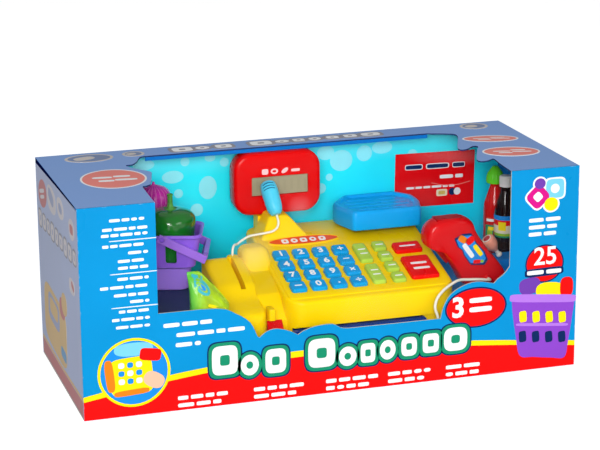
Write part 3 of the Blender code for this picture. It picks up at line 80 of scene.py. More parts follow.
# ---------------------------------------------------------------- cords
# Soft white PVC leads: the scanner's runs over the housing's corner, down behind the front
# board, along the tray in two lanes and into its gland; the microphone's ends in the knob.
# Helpers for surfaces and curves stand here too.
def rgb(*colour):
    """A colour written as 0-255 in linear light."""
    return tuple((c / 255 / 12.92 if c <= 10 else ((c / 255 + 0.055) / 1.055) ** 2.4) for c in colour)


def feed(tree, socket, value):
    """Link a socket to another one, or set its value."""
    if isinstance(value, bpy.types.NodeSocket):
        tree.links.new(value, socket)
    else:
        socket.default_value = value


def node(tree, kind, **inputs):
    """A shader node; its sockets are given by name."""
    made = tree.nodes.new("ShaderNode" + kind)
    for name, value in inputs.items():
        feed(tree, made.inputs[name.replace("_", " ")], value)
    return made


def maths(tree, operation, *values):
    """One maths node on numbers or sockets."""
    made = tree.nodes.new("ShaderNodeMath")
    made.operation = operation
    for socket, value in zip(made.inputs, values):
        feed(tree, socket, value)
    return made.outputs[0]


def ramp(tree, value, low, high, start=0.0, end=1.0):
    """Map a value between two limits, and hold it beyond them."""
    made = node(tree, "MapRange", Value=value, From_Min=low, From_Max=high, To_Min=start, To_Max=end)
    return made.outputs["Result"]


def axes(tree):
    """Object place and normal, each as three sockets."""
    coordinates = tree.nodes.new("ShaderNodeTexCoord").outputs
    return [node(tree, "SeparateXYZ", Vector=coordinates[name]).outputs for name in ("Object", "Normal")]


def noise(tree, scale, detail):
    """Noise over the piece's own place."""
    place = tree.nodes.new("ShaderNodeTexCoord").outputs["Object"]
    return node(tree, "TexNoise", Vector=place, Scale=scale, Detail=detail).outputs["Fac"]


def mixed(tree, mask, below, above):
    """One colour where the mask is 0 and the other where it is 1."""
    mix = tree.nodes.new("ShaderNodeMix")
    mix.data_type = "RGBA"
    for name, value in (("Factor", mask), ("A", below), ("B", above)):
        feed(tree, mix.inputs[name], value)
    return mix.outputs["Result"]


def overlay(material, colour, mask):
    """Lay a colour over a material's own where the mask is 1."""
    tree = material.node_tree
    base = tree.nodes["Principled BSDF"].inputs["Base Color"]
    feed(tree, base, mixed(tree, mask, base.links[0].from_socket, (*rgb(*colour), 1.0)))


def finish(name, colour, rough=0.35, spread=0.08, mottle=22.0, grain=1400.0, bump=0.12, depth=0.00008,
           specular=0.2, coat=0.0, coat_rough=0.03, under=0.0, alpha=1.0):
    """A moulded or printed surface: mottled colour and gloss, and a fine grain as bump."""
    material = bpy.data.materials.new(name)
    material.use_nodes = True
    tree = material.node_tree
    cloud = noise(tree, mottle, 3.0)
    dark, light = ((*(min(c * (1 + side * spread), 1.0) for c in rgb(*colour)), 1.0) for side in (-1, 1))
    height = node(tree, "Bump", Strength=bump, Distance=depth, Height=noise(tree, grain, 2.0))
    values = {"Base Color": mixed(tree, ramp(tree, cloud, 0.3, 0.7), dark, light),
              "Roughness": ramp(tree, cloud, 0.3, 0.7, rough * 0.85, min(rough * 1.2, 1.0)),
              "Normal": height.outputs["Normal"], "Specular IOR Level": specular, "Coat Weight": coat,
              "Coat Roughness": coat_rough, "Subsurface Weight": under, "Alpha": alpha}
    if under:
        values["Subsurface Radius"] = (0.004, 0.003, 0.002)
    for socket, value in values.items():
        feed(tree, tree.nodes["Principled BSDF"].inputs[socket], value)
    return material


def smooth(points, steps, closed=False):
    """A Catmull-Rom curve through points of any dimension."""
    data = [np.array(point, float) for point in points]
    count = len(data)
    result = []
    for k in range(count if closed else count - 1):
        if closed:
            before, start, end, after = (data[(k + j) % count] for j in (-1, 0, 1, 2))
        else:
            start, end = data[k], data[k + 1]
            before = data[k - 1] if k else 2 * start - end
            after = data[k + 2] if k + 2 < count else 2 * end - start
        for j in range(steps):
            t = j / steps
            result.append(0.5 * (2 * start + (end - before) * t
                                 + (2 * before - 5 * start + 4 * end - after) * t ** 2
                                 + (3 * start - before - 3 * end + after) * t ** 3))
    if not closed:
        result.append(data[-1])
    return np.array(result)


def mm(rows):
    """Millimetres as metres."""
    return np.array(rows, float) / 1000


def lead(name, route, diameter, material):
    """A round cord as one open spline; its route is in millimetres."""
    route = [tuple(round(a / 1000, 8) for a in row) for row in route]
    curve = bpy.data.curves.new(name, "CURVE")
    curve.dimensions = "3D"
    curve.bevel_depth, curve.bevel_resolution = diameter / 2, 4
    curve.resolution_u, curve.use_fill_caps = 1, True
    path = smooth(route, 12)
    spline = curve.splines.new("POLY")
    spline.points.add(len(path) - 1)
    for slot, place in zip(spline.points, path):
        slot.co = (*place, 1.0)
    curve.materials.append(material)
    piece = added(name + "_lead", curve)
    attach(piece, ROOT)
    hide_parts(name)


cord_white = finish("cord_pvc", (238, 234, 218), 0.42, 0.05, 60.0, 900.0, 0.15, under=0.1)
SCANNER_ROUTE = [
    (183.1, -66.59, 91.3), (183.1, -70.59, 91.5), (180.9, -76.19, 92.9), (175.1, -79.19, 94.5),
    (166.1, -80.29, 96.1), (154.7, -79.99, 96.9), (145.1, -81.99, 98.1), (136.6, -86.99, 97.9),
    (123.6, -92.99, 93.4), (114.6, -97.49, 87.5), (110.6, -99.99, 80.9), (110.1, -101.29, 74.9),
    (112.6, -101.99, 66.9), (113.1, -102.29, 56.9), (112.1, -102.79, 45.9), (108.3, -103.49, 35.8),
    (101.1, -103.79, 30.9), (92.1, -104.29, 29.8), (70.1, -104.29, 29.8), (4.9, -104.29, 29.8),
    (-39.1, -104.29, 29.8), (-45.1, -104.29, 29.8), (-50.83, -101.92, 29.8), (-53.2, -96.19, 29.8),
    (-50.83, -90.46, 29.8), (-45.1, -88.09, 29.8), (-39.1, -88.09, 29.8), (4.9, -88.09, 29.8),
    (64.9, -88.09, 29.8), (91.1, -91.59, 29.8), (107.1, -98.09, 30.1), (116.6, -100.89, 32.8),
    (122.5, -100.89, 38.2), (124.8, -97.29, 42.6), (125.1, -92.09, 44), (125.1, -88.09, 44)]
MICROPHONE_ROUTE = [
    (-19.06, 39.83, 151.52), (-18.71, 38.32, 149.06), (-18.26, 36.23, 144.32), (-20.46, 33.23, 139.52),
    (-26.06, 31.23, 136.37), (-33.56, 30.83, 135.27), (-44.06, 31.83, 133.97), (-52.1, 33.83, 132.27),
    (-60.1, 32.83, 128.77), (-66.3, 29.43, 126.17), (-70.9, 23.21, 127.5), (-73.8, 19.01, 125.9),
    (-75.1, 17.01, 122.2), (-75.1, 17.01, 118.3)]
lead("scanner_cord", SCANNER_ROUTE, 0.003, cord_white)
lead("microphone_cord", MICROPHONE_ROUTE, 0.0025, cord_white)

# ---------------------------------------------------------------- stage and light
# A white floor that stays white to the camera but keeps the shadow, an even white sky, one big
# soft lamp from the upper left front, a weak one from the right and one from the front.
FLOOR_WHITE, FLOOR_GLOW, SKY_LEVEL, SKY_GLOSS_LOSS = (228.54, 228.54, 228.54), 0.64, 0.42, 0.12
floor_mesh = bpy.data.meshes.new("floor")
floor_mesh.from_pydata([(-6, -6, 0), (6, -6, 0), (6, 6, 0), (-6, 6, 0)], [], [(0, 1, 2, 3)])
floor = added("floor", floor_mesh)
floor_paint = finish("floor_paper", FLOOR_WHITE, 0.7, 0.01, 3.0, 60.0, 0.02)
tree = floor_paint.node_tree
seen = tree.nodes.new("ShaderNodeLightPath").outputs
shader = tree.nodes["Principled BSDF"]
shader.inputs["Emission Color"].default_value = (1, 1, 1, 1)
feed(tree, shader.inputs["Emission Strength"], maths(tree, "MULTIPLY", seen["Is Camera Ray"], FLOOR_GLOW))
floor_mesh.materials.append(floor_paint)

world = bpy.data.worlds.new("studio")
bpy.context.scene.world = world
world.use_nodes = True
tree = world.node_tree
seen = tree.nodes.new("ShaderNodeLightPath").outputs
direct = maths(tree, "MAXIMUM", seen["Is Camera Ray"], seen["Is Transmission Ray"])
glossy = maths(tree, "MULTIPLY", seen["Is Glossy Ray"], SKY_GLOSS_LOSS)
sky = tree.nodes["Background"]
sky.inputs["Color"].default_value = (1, 1, 1, 1)
seen_sky = ramp(tree, direct, 0.0, 1.0, SKY_LEVEL, 1.0)
feed(tree, sky.inputs["Strength"], maths(tree, "SUBTRACT", seen_sky, glossy))


def lamp(name, at, aim, size, power):
    """A square soft lamp that looks at a point."""
    data = bpy.data.lights.new(name, "AREA")
    data.size, data.energy = size, power
    item = added(name, data)
    item.location = at
    item.rotation_euler = (Vector(aim) - Vector(at)).to_track_quat("-Z", "Y").to_euler()


lamp("key", (-1.0, -2.5, 1.25), (0, 0, 0.1), 1.1, 50.0)
lamp("fill", (1.8, -2.2, 0.9), (0, 0, 0.1), 1.2, 10.0)
lamp("front", (-0.4, -2.6, 0.65), (0, 0, 0.12), 0.8, 12.0)

# ---------------------------------------------------------------- carton boards
# Folded solid board, 1.5 mm, printed blue and varnished; the front window's die-cut edges show the
# pale pulp, the top board's cut edges are painted dark navy as painted shade, the top faces a paler
# blue and the end panels a greyed blue as painted glare, and the outer edges are rubbed pale.
# The boards' own solids carry the print.


def wear(tree, place):
    """1 along the carton's outer edges, broken by noise: two of the three distances are small there."""
    x, y = (maths(tree, "SUBTRACT", half, maths(tree, "ABSOLUTE", place[axis]))
            for half, axis in ((HALF_W, "X"), (HALF_D, "Y")))
    z = maths(tree, "MINIMUM", place["Z"], maths(tree, "SUBTRACT", HEIGHT, place["Z"]))
    edge = maths(tree, "MAXIMUM", maths(tree, "MINIMUM", x, y),
                 maths(tree, "MINIMUM", maths(tree, "MAXIMUM", x, y), z))
    return maths(tree, "MULTIPLY", ramp(tree, edge, 0.0002, 0.001, 0.4, 0.0),
                 ramp(tree, noise(tree, 160.0, 4.0), 0.56, 0.72))


def printed(name, colour, rough=0.28, edge_mask=None, edge_colour=(216, 208, 186), specular=0.1):
    """Varnished print on board; edge_mask gives the mask of the cut edges, laid in edge_colour: the pale pulp
    by default, a dark painted shade on the top board.
    """
    material = finish(name, colour, rough, 0.05, 9.0, 420.0, 0.1, 0.00006, specular)
    tree = material.node_tree
    place, normal = axes(tree)
    if edge_mask:
        overlay(material, edge_colour, edge_mask(tree, place, normal))
    overlay(material, (205, 212, 216), wear(tree, place))
    return material


def within(tree, value, limit):
    """1 where a value is nearer to 0 than the limit."""
    return maths(tree, "LESS_THAN", maths(tree, "ABSOLUTE", value), limit)


def window_edge(tree, place, normal):
    """The front window's cut edges: they face sideways or up, inside the window's width."""
    inside = within(tree, maths(tree, "SUBTRACT", place["X"], WINDOW_MIDDLE), WINDOW_HALF)
    return maths(tree, "MULTIPLY", within(tree, normal["Y"], 0.5), inside)


def top_edge(tree, place, normal):
    """The top board's cut edges, painted dark navy as painted shade."""
    sideways = maths(tree, "MULTIPLY", within(tree, normal["Z"], 0.5),
                     within(tree, place["X"], HALF_W - 0.001))
    return maths(tree, "MULTIPLY", sideways, maths(tree, "GREATER_THAN", place["Z"], HEIGHT - BOARD - 0.0001))


def fade(material, colour, kind, axis, low, high, share=1.0):
    """Lay a colour over a material between two values of its place or normal along an axis."""
    tree = material.node_tree
    value = axes(tree)[("place", "normal").index(kind)][axis]
    overlay(material, colour, ramp(tree, value, low, high, 0.0, share))


def dress(name, material):
    """Give one of the model's own solids its material."""
    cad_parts[name].material_slots[0].material = material


# The end panels' greyed blue is painted glare over their bright blue print.
END_GLARE_BLUE = (174, 184, 212)
# The top board's cut edges get dark navy in place of the pulp: painted shade under its edge.
top_print = printed("top_print", (0, 112, 198), 0.55, top_edge, (34, 54, 104))
# The top board's upward faces are painted a paler, greyed blue: painted glare.
fade(top_print, (134, 168, 224), "normal", "Z", 0.7, 0.9)
for name, material, axis, inward in (
        ("carton_front", printed("front_print", (2, 143, 206), 0.3, window_edge), "Y", 1),
        ("carton_top", top_print, "Z", -1), ("left_end_flap", printed("left_print", END_GLARE_BLUE, 0.5), "X", 1),
        ("right_end_flap", printed("right_print", END_GLARE_BLUE, 0.5), "X", -1),
        ("carton_back", printed("back_print", (8, 128, 214), 0.45), "Y", -1),
        ("carton_bottom", printed("bottom_board", (196, 190, 176), 0.7), "Z", 1)):
    fade(material, (176, 174, 166), "normal", axis, 0.7 * inward, 0.9 * inward)
    dress(name, material)

# ---------------------------------------------------------------- prints on the carton
# The real carton carries names, badges and pictures. They are left off: bars stand for the
# words, and plain shapes of like colour and size for the badges and pictures, as thin ink films.
INK, STEP = 0.00006, 0.00001


def flat(loop, low=0.0, high=INK):
    """A thin plate over a closed outline of (a, b) points."""
    loop = [tuple(point) for point in loop]
    count = len(loop)
    points = [(a, b, h) for h in (low, high) for a, b in loop]
    faces = [tuple(range(count))[::-1], tuple(range(count, 2 * count))]
    faces += [(k, (k + 1) % count, count + (k + 1) % count, count + k) for k in range(count)]
    return np.array(points), faces


def band(outer, inner, low=0.0, high=INK):
    """A thin plate between two outlines of as many points."""
    count = len(outer)
    points = [(*p, h) for h in (low, high) for loop in (outer, inner) for p in loop]
    faces = []
    for k in range(count):
        j = (k + 1) % count
        rows = [(0, 1), (1, 3), (3, 2), (2, 0)]
        faces += [(a * count + k, a * count + j, b * count + j, b * count + k) for a, b in rows]
    return np.array(points), faces


def circle(steps):
    """Angles round a circle."""
    return np.linspace(0, 2 * pi, steps, endpoint=False)


def oval(a, b, half_a, half_b, steps=48, turn=0.0, square=1.0):
    """An ellipse, or with square under 1 a rounded box, about a centre."""
    angles = circle(steps)
    c, s = np.cos(angles), np.sin(angles)
    x, y = half_a * np.sign(c) * np.abs(c) ** square, half_b * np.sign(s) * np.abs(s) ** square
    return np.stack((a + x * cos(turn) - y * sin(turn),
                     b + x * sin(turn) + y * cos(turn)), axis=1)


def spot(a, b, half_a, half_b, turn=0.0, square=1.0, steps=40):
    """The same in millimetres, with its turn and squareness before the steps."""
    return oval(a / 1000, b / 1000, half_a / 1000, half_b / 1000, steps, turn, square)


def bar(a0, a1, b, height, tilt=0.0):
    """A bar with round ends from a0 to a1 about the height b."""
    middle, half = (a0 + a1) / 2, (a1 - a0) / 2
    return oval(middle, b, half, height / 2, 16, tilt, 0.35 if half > height else 0.8)


def words(a0, a1, b, height, seed):
    """A row of bars that stands for a line of words."""
    chance = np.random.default_rng(seed)
    result, a = [], a0
    while a < a1 - height:
        end = min(a + height * chance.uniform(1.8, 4.6), a1)
        result.append(flat(bar(a, end, b, height)))
        a = end + height * 0.6
    return result


def build(name, parts, place=None, sharp=35.0, body=ROOT, instead=None):
    """One mesh object from solids of (points, faces), grouped by material or by the name of an ink."""
    bm = bmesh.new()
    for index, (_, solids) in enumerate(parts):
        for points, faces in solids:
            verts = [bm.verts.new(place(*p) if place else tuple(p)) for p in points]
            for face in faces:
                bm.faces.new([verts[k] for k in face]).material_index = index
    bmesh.ops.recalc_face_normals(bm, faces=bm.faces)
    mesh = bpy.data.meshes.new(name)
    bm.to_mesh(mesh)
    bm.free()
    mesh.shade_smooth()
    mesh.set_sharp_from_angle(angle=radians(sharp))
    for material, _ in parts:
        mesh.materials.append(ink[material] if isinstance(material, str) else material)
    piece = added(name, mesh)
    if body:
        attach(piece, body)
    if instead:
        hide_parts(instead)
    return piece


def glyph(text, a, b, size, low=0.0, high=INK, weight=0.0004):
    """A number or sign as solids, centred on (a, b)."""
    data = bpy.data.curves.new("sign", "FONT")
    data.body, data.size, data.align_x, data.align_y = text, size, "CENTER", "CENTER"
    data.resolution_u, data.extrude, data.offset = 3, (high - low) / 2, weight
    item = added("sign", data)
    mesh = bpy.data.meshes.new_from_object(item.evaluated_get(bpy.context.evaluated_depsgraph_get()))
    points = np.array([(a + v.co.x, b + v.co.y, (low + high) / 2 + v.co.z) for v in mesh.vertices])
    faces = [tuple(p.vertices) for p in mesh.polygons]
    bpy.data.objects.remove(item)
    bpy.data.curves.remove(data)
    bpy.data.meshes.remove(mesh)
    return [(points, faces)]


def on_front(a, b, h):
    return a, -HALF_D - h, b


def on_top(a, b, h):
    return a, b, HEIGHT + h


INKS = {"red": (240, 8, 8), "yellow": (255, 226, 6), "white": (238, 240, 242), "green": (22, 142, 104),
        "navy": (6, 40, 92), "orange": (238, 128, 24), "pink": (236, 138, 130), "teal": (60, 178, 190),
        "violet": (112, 62, 170), "lime": (150, 196, 50), "sky": (120, 205, 238), "cream": (236, 226, 196),
        "dull": (126, 142, 178), "magenta": (212, 20, 134), "azure": (24, 140, 224), "skin": (244, 190, 160),
        "purple": (140, 70, 200), "orchid": (180, 120, 226), "tan": (204, 198, 194), "rose": (190, 132, 134),
        "faded": (204, 200, 204), "mist": (158, 166, 194), "sand": (206, 180, 138), "stone": (150, 150, 160),
        "sky_dull": (120, 160, 196)}
ink = {name: printed("ink_" + name, colour, 0.5) for name, colour in INKS.items()}
# Not a print: a dark painted shade for the gap between the top board and the end flaps.
ink["shade"] = printed("ink_shade", (4, 10, 62), 0.8, specular=0.0)

# Front: red foot band under a yellow arc
arc_top = smooth(mm([(-265.1, 25), (-217.7, 33), (-177.6, 38.6), (-139.3, 42.6), (-93.2, 46.6), (-44.5, 49.4),
                     (8.1, 48.6), (70, 46.2), (150.2, 39.6), (201.2, 34.5), (265.1, 27.4)]), 6)
arc_low = smooth(mm([(-265.1, 19.5), (-217.7, 26.8), (-177.6, 32.4), (-139.3, 36.6), (-93.2, 40.4),
                     (-44.5, 42.8), (8.1, 42.6), (70, 40.4), (150.2, 34.0), (201.2, 29.2), (265.1, 22)]), 6)
foot = [(-0.2651, 0.0002), (0.2651, 0.0002)]
red_band = flat(foot + list(arc_low[::-1]), 0, 0.00005)
yellow_arc = flat(list(arc_low) + list(arc_top[::-1]), 0, 0.00007)
build("front_bands", [("red", [red_band]), ("yellow", [yellow_arc])], on_front)

# Front: word bars on the left panel, in the red band, on the left hill and under the corner badge.
# Rows: start, end, height, bar height, seed.
LEFT_ROWS = [(-233.4, 204), (-240.6, 195), (-241.8, 189), (-241, 178), (-215.5, 170), (-226, 162),
             (-226, 155), (-227, 143.8), (-244.6, 135.6), (-231, 127.2), (-215, 119.7), (-226.5, 110),
             (-233.7, 102), (-230, 94)]
rows = [(start, -195.5, height, 3.0, k) for k, (start, height) in enumerate(LEFT_ROWS)]
rows += [(start, end - 7 * row, (13.0, 5.2)[row], 4.2, 20 + 2 * k + row) for k, (start, end) in enumerate(
    ((-169, -117), (-89.5, -32), (-12.5, 44), (55, 102), (119, 163))) for row in (0, 1)]
rows += [(-182, -132, 91, 4.3, 40), (-169, -98, 80, 4.3, 41), (-170, -144, 69.5, 4.3, 42)]
rows += [(209.5, 245, 164 - 7.6 * k, 4.1, 50 + k) for k in range(3)]
lines = [flat(bar(-0.2342, -0.1865, height / 1000, 0.0009)) for height in (183.2, 149.3, 114.5)]
for start, end, height, thick, seed in rows:
    lines += words(start / 1000, end / 1000, height / 1000, thick / 1000, seed)
build("front_word_bars", [("white", lines)], on_front)

# Front: the title's place holds a row of plain shapes with holes, in a green and a navy rim.
# Rows: centre, half width, half height, squareness.
TITLE = [(-119.5, 48, 13.5, 15.5, 0.45), (-93.5, 40, 9.5, 11.0, 1.0), (-66, 41.5, 11.0, 13.0, 0.5),
         (-17, 44.5, 14.5, 15.5, 0.5), (11, 37.8, 9.5, 10.5, 1.0), (33, 39, 8.0, 10.5, 0.45),
         (54.5, 40, 8.6, 10.6, 1.0), (78, 41, 8.6, 10.4, 0.6), (102, 42, 9.0, 10.5, 0.45),
         (129.5, 43.5, 13.0, 12.8, 0.6)]
title = {"navy": [], "green": [], "white": []}
for a, b, half_a, half_b, square in TITLE:
    for name, grow, high in (("navy", 4.9, 0.00012), ("green", 3.5, 0.000135), ("white", 0.0, 0.00015)):
        title[name].append(flat(spot(a, b, half_a + grow, half_b + grow, 0.0, square, 48), 0, high))
    title["green"].append(flat(spot(a, b, half_a * 0.38, half_b * 0.36, 0.0, square, 24), 0, 0.000165))
build("title_shapes", list(title.items()), on_front)


def painted(name, shapes, place, low=0.00008, extra=(), body=ROOT):
    """Plates of (ink, centre, half sizes, turn, squareness) in mm, each a little over the last."""
    store = {}
    for k, (colour, *sizes) in enumerate(shapes):
        store.setdefault(colour, []).append(flat(spot(*sizes), 0, low + STEP * k))
    for colour, solids in extra:
        store.setdefault(colour, []).extend(solids)
    build(name, list(store.items()), place, body=body)


def lifted(solids, by=0.0001):
    return [(points + np.array((0, 0, by)), faces) for points, faces in solids]


# Front: badges with plain numbers, a badge of four shapes and the two pictures' places
painted("number_badges", [
    ("navy", 151.8, 75.8, 34.5, 22.2), ("red", 151.8, 75.8, 32.6, 20.4),
    ("white", 157, 83.5, 12.5, 2.7, 0, 0.4), ("white", 157, 73.5, 12.5, 2.7, 0, 0.4),
    ("navy", 228.2, 116, 21.8, 20.8), ("red", 228.2, 116, 20.2, 19.2),
    ("navy", 228.0, 107.0, 22.0, 4.6, 0.02, 0.4)], on_front,
    extra=[("white", glyph("3", 0.132, 0.0765, 0.03, 0, 0.00016, 0.0009)
            + glyph("25", 0.229, 0.1235, 0.027, 0, 0.00016, 0.0004)
            + lifted(words(0.2085, 0.2475, 0.107, 0.0046, 55)))])
painted("corner_badge", [
    ("white", 238, 196.5, 12.0, 12.0, 0, 0.45), ("white", 219, 189, 12.5, 12.0, 0.75, 0.5),
    ("white", 234, 180, 9.5, 9), ("white", 221, 203, 8, 7.5), ("sky", 238, 196.5, 10.2, 10.2, 0, 0.45),
    ("magenta", 219, 189, 10.8, 10.3, 0.75, 0.5), ("yellow", 234, 180, 7.8, 7.3),
    ("violet", 221, 203, 6.2, 5.7), ("white", 238, 196.5, 5, 5),
    ("white", 219, 189, 4.5, 4.5, 0.75, 0.5)], on_front)
painted("round_picture", [
    ("yellow", -213.1, 45.7, 37.2, 36.2), ("azure", -213.1, 45.7, 34.4, 33.5),
    ("sky", -213, 70, 20, 7, 0, 0.8), ("yellow", -216, 42, 22, 20, 0.06, 0.4),
    ("orange", -238, 44, 4.5, 17, 0.1, 0.6), ("red", -196, 63, 11, 6.5, -0.15, 0.45),
    ("skin", -193, 36, 11, 8, -0.5, 0.8), ("orange", -216, 25, 18, 3, 0.06, 0.5)]
    + [("azure" if (i + j) % 2 else "white", -226 + 9 * i, 54 - 8.5 * j, 3.1, 2.9, 0, 0.7) for i in range(3)
       for j in range(3)],
    on_front)
tub_outline = smooth(mm([(-35, 33), (-20, 34), (0, 32), (22, 29), (35, 26), (34, 8), (30, -20), (26, -38),
                         (10, -37), (-10, -34), (-25, -31),
                         (-30, -10)]) + np.array((0.2275, 0.048)), 6, closed=True)
painted("corner_picture", [
    ("violet", 212, 93, 12, 9, 0.1, 0.7), ("yellow", 236, 86, 17, 9, -0.1, 0.8),
    ("red", 254, 88, 7.5, 11, 0, 0.7), ("orchid", 227.5, 78, 38, 4.4, -0.1, 0.35)]
    + [("yellow" if j == 0 else "navy", 205 + 15 * i, 60 - 22 * j - 1.6 * i, 4.2, 6.2, 0.08, 0.45)
       for i in range(4) for j in range(2)]
    + [("orchid", 227, 49, 30, 1.6, -0.1, 0.4)], on_front, 0.00014,
        [("purple", [flat(tub_outline, 0, 0.00012)])])

# Top: pale ovals and a row of plain shapes behind the window
over = []
for a, b, half_a, half_b, turn in ((-205.8, -6.6, 34, 39, -0.12), (223, 31, 31, 15, -0.25),
                                   (221.5, -31, 31, 21, -0.25)):
    over += [("white", a, b, half_a, half_b, turn, 1), ("pink", a, b, half_a - 2, half_b - 3, turn, 1)]
    for k, (shift, share, aside) in enumerate(((0.2, 0.3, -0.3), (0.2, 0.26, 0.3), (-0.16, 0.24, -0.25),
                                               (-0.16, 0.34, 0.35))):
        over.append(("white", a + aside * half_a, b + shift * half_b, share * half_a, half_b * 0.085, turn,
                     0.5))
for a, b, half_a, half_b in ((-212, 86, 26, 17), (-163, 90, 12, 11), (228, 92, 16, 14)):
    over += [("tan", a, b, half_a, half_b), ("dull", a, b, half_a - 3, half_b - 3),
             ("tan", a - half_a * 0.2, b, half_a * 0.45, half_b * 0.4, 0.3, 0.7)]
for a, _, half_a, half_b, square in TITLE:
    over += [("stone", a * 0.86 - 6, 92, half_a * 0.86 + 3.2, half_b * 0.52 + 3.0, 0, square),
             ("white", a * 0.86 - 6, 92, half_a * 0.82, half_b * 0.55, 0, square),
             ("stone", a * 0.86 - 6, 92, half_a * 0.26, half_b * 0.18, 0, square)]
painted("top_prints", over, on_top, 0.00006)

# Ends: pale ovals, a slanted row of pale shapes, a tan picture's place, a red foot band painted pale
# pink as painted glare, and a dark painted shade strip under the top board's edge
foot_red = [(-107, 2.5), (-107, 19), (-60, 18), (0, 17.5), (60, 18), (107, 19), (107, 2.5)]
foot_line = [(-107, 19.4), (-107, 23.0), (0, 21.2), (107, 23.0), (107, 19.4), (0, 17.9)]
gap_shade = [(-100, 217.2), (108.5, 213.2), (108.5, 218.3), (-100, 218.5)]
END = [("rose", 74, 188, 24, 15, -0.25, 1), ("faded", 78, 190, 14, 2.2, -0.25, 0.5),
       ("faded", 76, 184, 12, 2.0, -0.25, 0.5), ("faded", 24, 194, 24, 14, 0.05, 0.8),
       ("mist", 26, 196, 14, 7, 0.3, 0.7), ("faded", -24, 197, 18, 11, 0, 0.9),
       ("mist", -24, 197, 9, 5, 0.2, 0.9), ("faded", -80, 190, 14, 11), ("rose", -80, 190, 8, 5, 0, 0.6),
       ("faded", -72, 129, 14, 8, 0, 0.7), ("rose", -76, 130, 7, 3.5, 0.4, 0.6),
       ("sand", 28, 58, 60, 33, 0.06, 0.4), ("mist", 34, 70, 30, 15, 0.06, 0.4),
       ("rose", -14, 88, 14, 11, 0.1, 0.8), ("sand", 34, 72, 22, 9, 0.06, 0.5),
       ("sand", -26, 96, 14, 12, 0, 0.9), ("sky_dull", -14, 38, 14, 6, 0.1, 0.5)]
for k in range(9):
    a = 92 - 23 * k
    END += [("stone", a, 155 + 0.04 * (92 - a) + 2, 9.5 + k % 2, 10.5 - (k % 3), 0, 0.55),
            ("faded", a, 155 + 0.04 * (92 - a) + 2, 7.5 + k % 2, 8.6 - (k % 3), 0, 0.55),
            ("mist", a, 155 + 0.04 * (92 - a) + 2, 2.4, 3.2, 0, 0.7)]
for side, name in ((-1, "left"), (1, "right")):
    painted("end_prints_" + name, END, lambda a, b, h, side=side: (side * (HALF_W + h), a, b), 0.00008,
            [("rose", [flat(mm(foot_red))]), ("sand", [flat(mm(foot_line), 0, 0.00008)]),
             ("shade", [flat(mm(gap_shade), 0, 0.00007)])], name + "_end_flap")

# Back: the same bands and a wide plain field with shapes
mirrored = [(colour, [(points * (-1, 1, 1), faces)])
            for colour, (points, faces) in (("red", red_band), ("yellow", yellow_arc))]
bars = []
for k in range(5):
    bars += words(-0.15, 0.02 + 0.03 * (k % 3), 0.165 - 0.013 * k, 0.0046, 80 + k)
painted("back_prints", [
    ("sky", 0, 135, 190, 58, 0, 0.4), ("violet", 115, 137, 40, 36, 0.2, 0.7), ("orange", 105, 128, 16, 16),
    ("lime", 130, 147, 14, 12, 0.3, 0.8)], lambda a, b, h: (-a, HALF_D + h, b), 0.00008,
    mirrored + [("white", lifted(bars))])

# ---------------------------------------------------------------- window film
# Clear 0.3 mm PET bent over the front edge: almost unseen, with a faint milky haze, and a few
# whiter spots that are painted glare.
film = finish("film_pet", (232, 242, 250), 0.1, 0.02, 8.0, 60.0, 0.05, 0.0003, 0.5, alpha=0.06)
tree = film.node_tree
coordinates = tree.nodes.new("ShaderNodeTexCoord").outputs["Object"]
haze_and_glare = ramp(tree, noise(tree, 11.0, 2.0), 0.5, 0.75, 0.001, 0.01)
# Glare spots: centre, near and far radius, strength; each makes the film whiter there as painted glare.
GLARE_SPOTS = [((-0.0885, -0.1085, 0.157), 0.006, 0.024, 0.05), ((-0.039, -0.1085, 0.2), 0.002, 0.014, 0.04),
         ((0.15, -0.02, 0.217), 0.01, 0.045, 0.05)]
for centre, near, far, strength in GLARE_SPOTS:
    away = node(tree, "VectorMath", Vector=coordinates)
    away.operation = "DISTANCE"
    away.inputs[1].default_value = centre
    haze_and_glare = maths(tree, "ADD", haze_and_glare, ramp(tree, away.outputs["Value"], near, far, strength, 0.0))
feed(tree, tree.nodes["Principled BSDF"].inputs["Alpha"], haze_and_glare)
dress("window_film", film)

# ---------------------------------------------------------------- backdrop and tray
# The back card is printed cyan with pale bubbles, deeper at its foot; the tray is folded card
# printed blue on its upper side, its left end under the basket darkened to near black as painted shade.
card_print = finish("backdrop_print", (26, 236, 255), 0.4, 0.05, 12.0, 500.0, 0.08, specular=0.3)
fade(card_print, (0, 214, 252), "place", "Z", 0.165, 0.13, 0.6)
fade(card_print, (120, 238, 250), "place", "Z", 0.186, 0.215, 0.6)
dress("backdrop_card", card_print)
tray_print = finish("tray_print", (14, 136, 224), 0.5, 0.06, 14.0, 500.0, 0.12, specular=0.2)
# The tray's left end, under the basket, is darkened to near black: painted shade.
fade(tray_print, (6, 12, 60), "place", "X", -0.118, -0.128, 0.92)
dress("tray_card", tray_print)
pale = finish("bubble_print", (140, 238, 250), 0.4, 0.06, 20.0, specular=0.3)
BUBBLES = [(-118, 187, 12, 7), (-104, 203, 5, 5), (-79, 172, 10, 13), (56, 200, 10, 8), (74, 190, 13, 12),
           (101, 196, 9, 9), (122, 201, 12, 7), (158, 190, 6, 6), (-150, 203, 12, 6), (60, 172, 4, 4),
           (174, 178, 8, 8), (-60, 199, 5, 5), (-92, 148, 7, 7), (-112, 168, 5, 5), (50, 160, 6, 6),
           (-76, 205, 6, 4)]
bubbles = [flat(spot(a, b, r, s, steps=32), 0, INK + STEP * k) for k, (a, b, r, s) in enumerate(BUBBLES)]
build("backdrop_bubbles", [(pale, bubbles)], lambda a, b, h: (a, BACKDROP_Y - h, b))


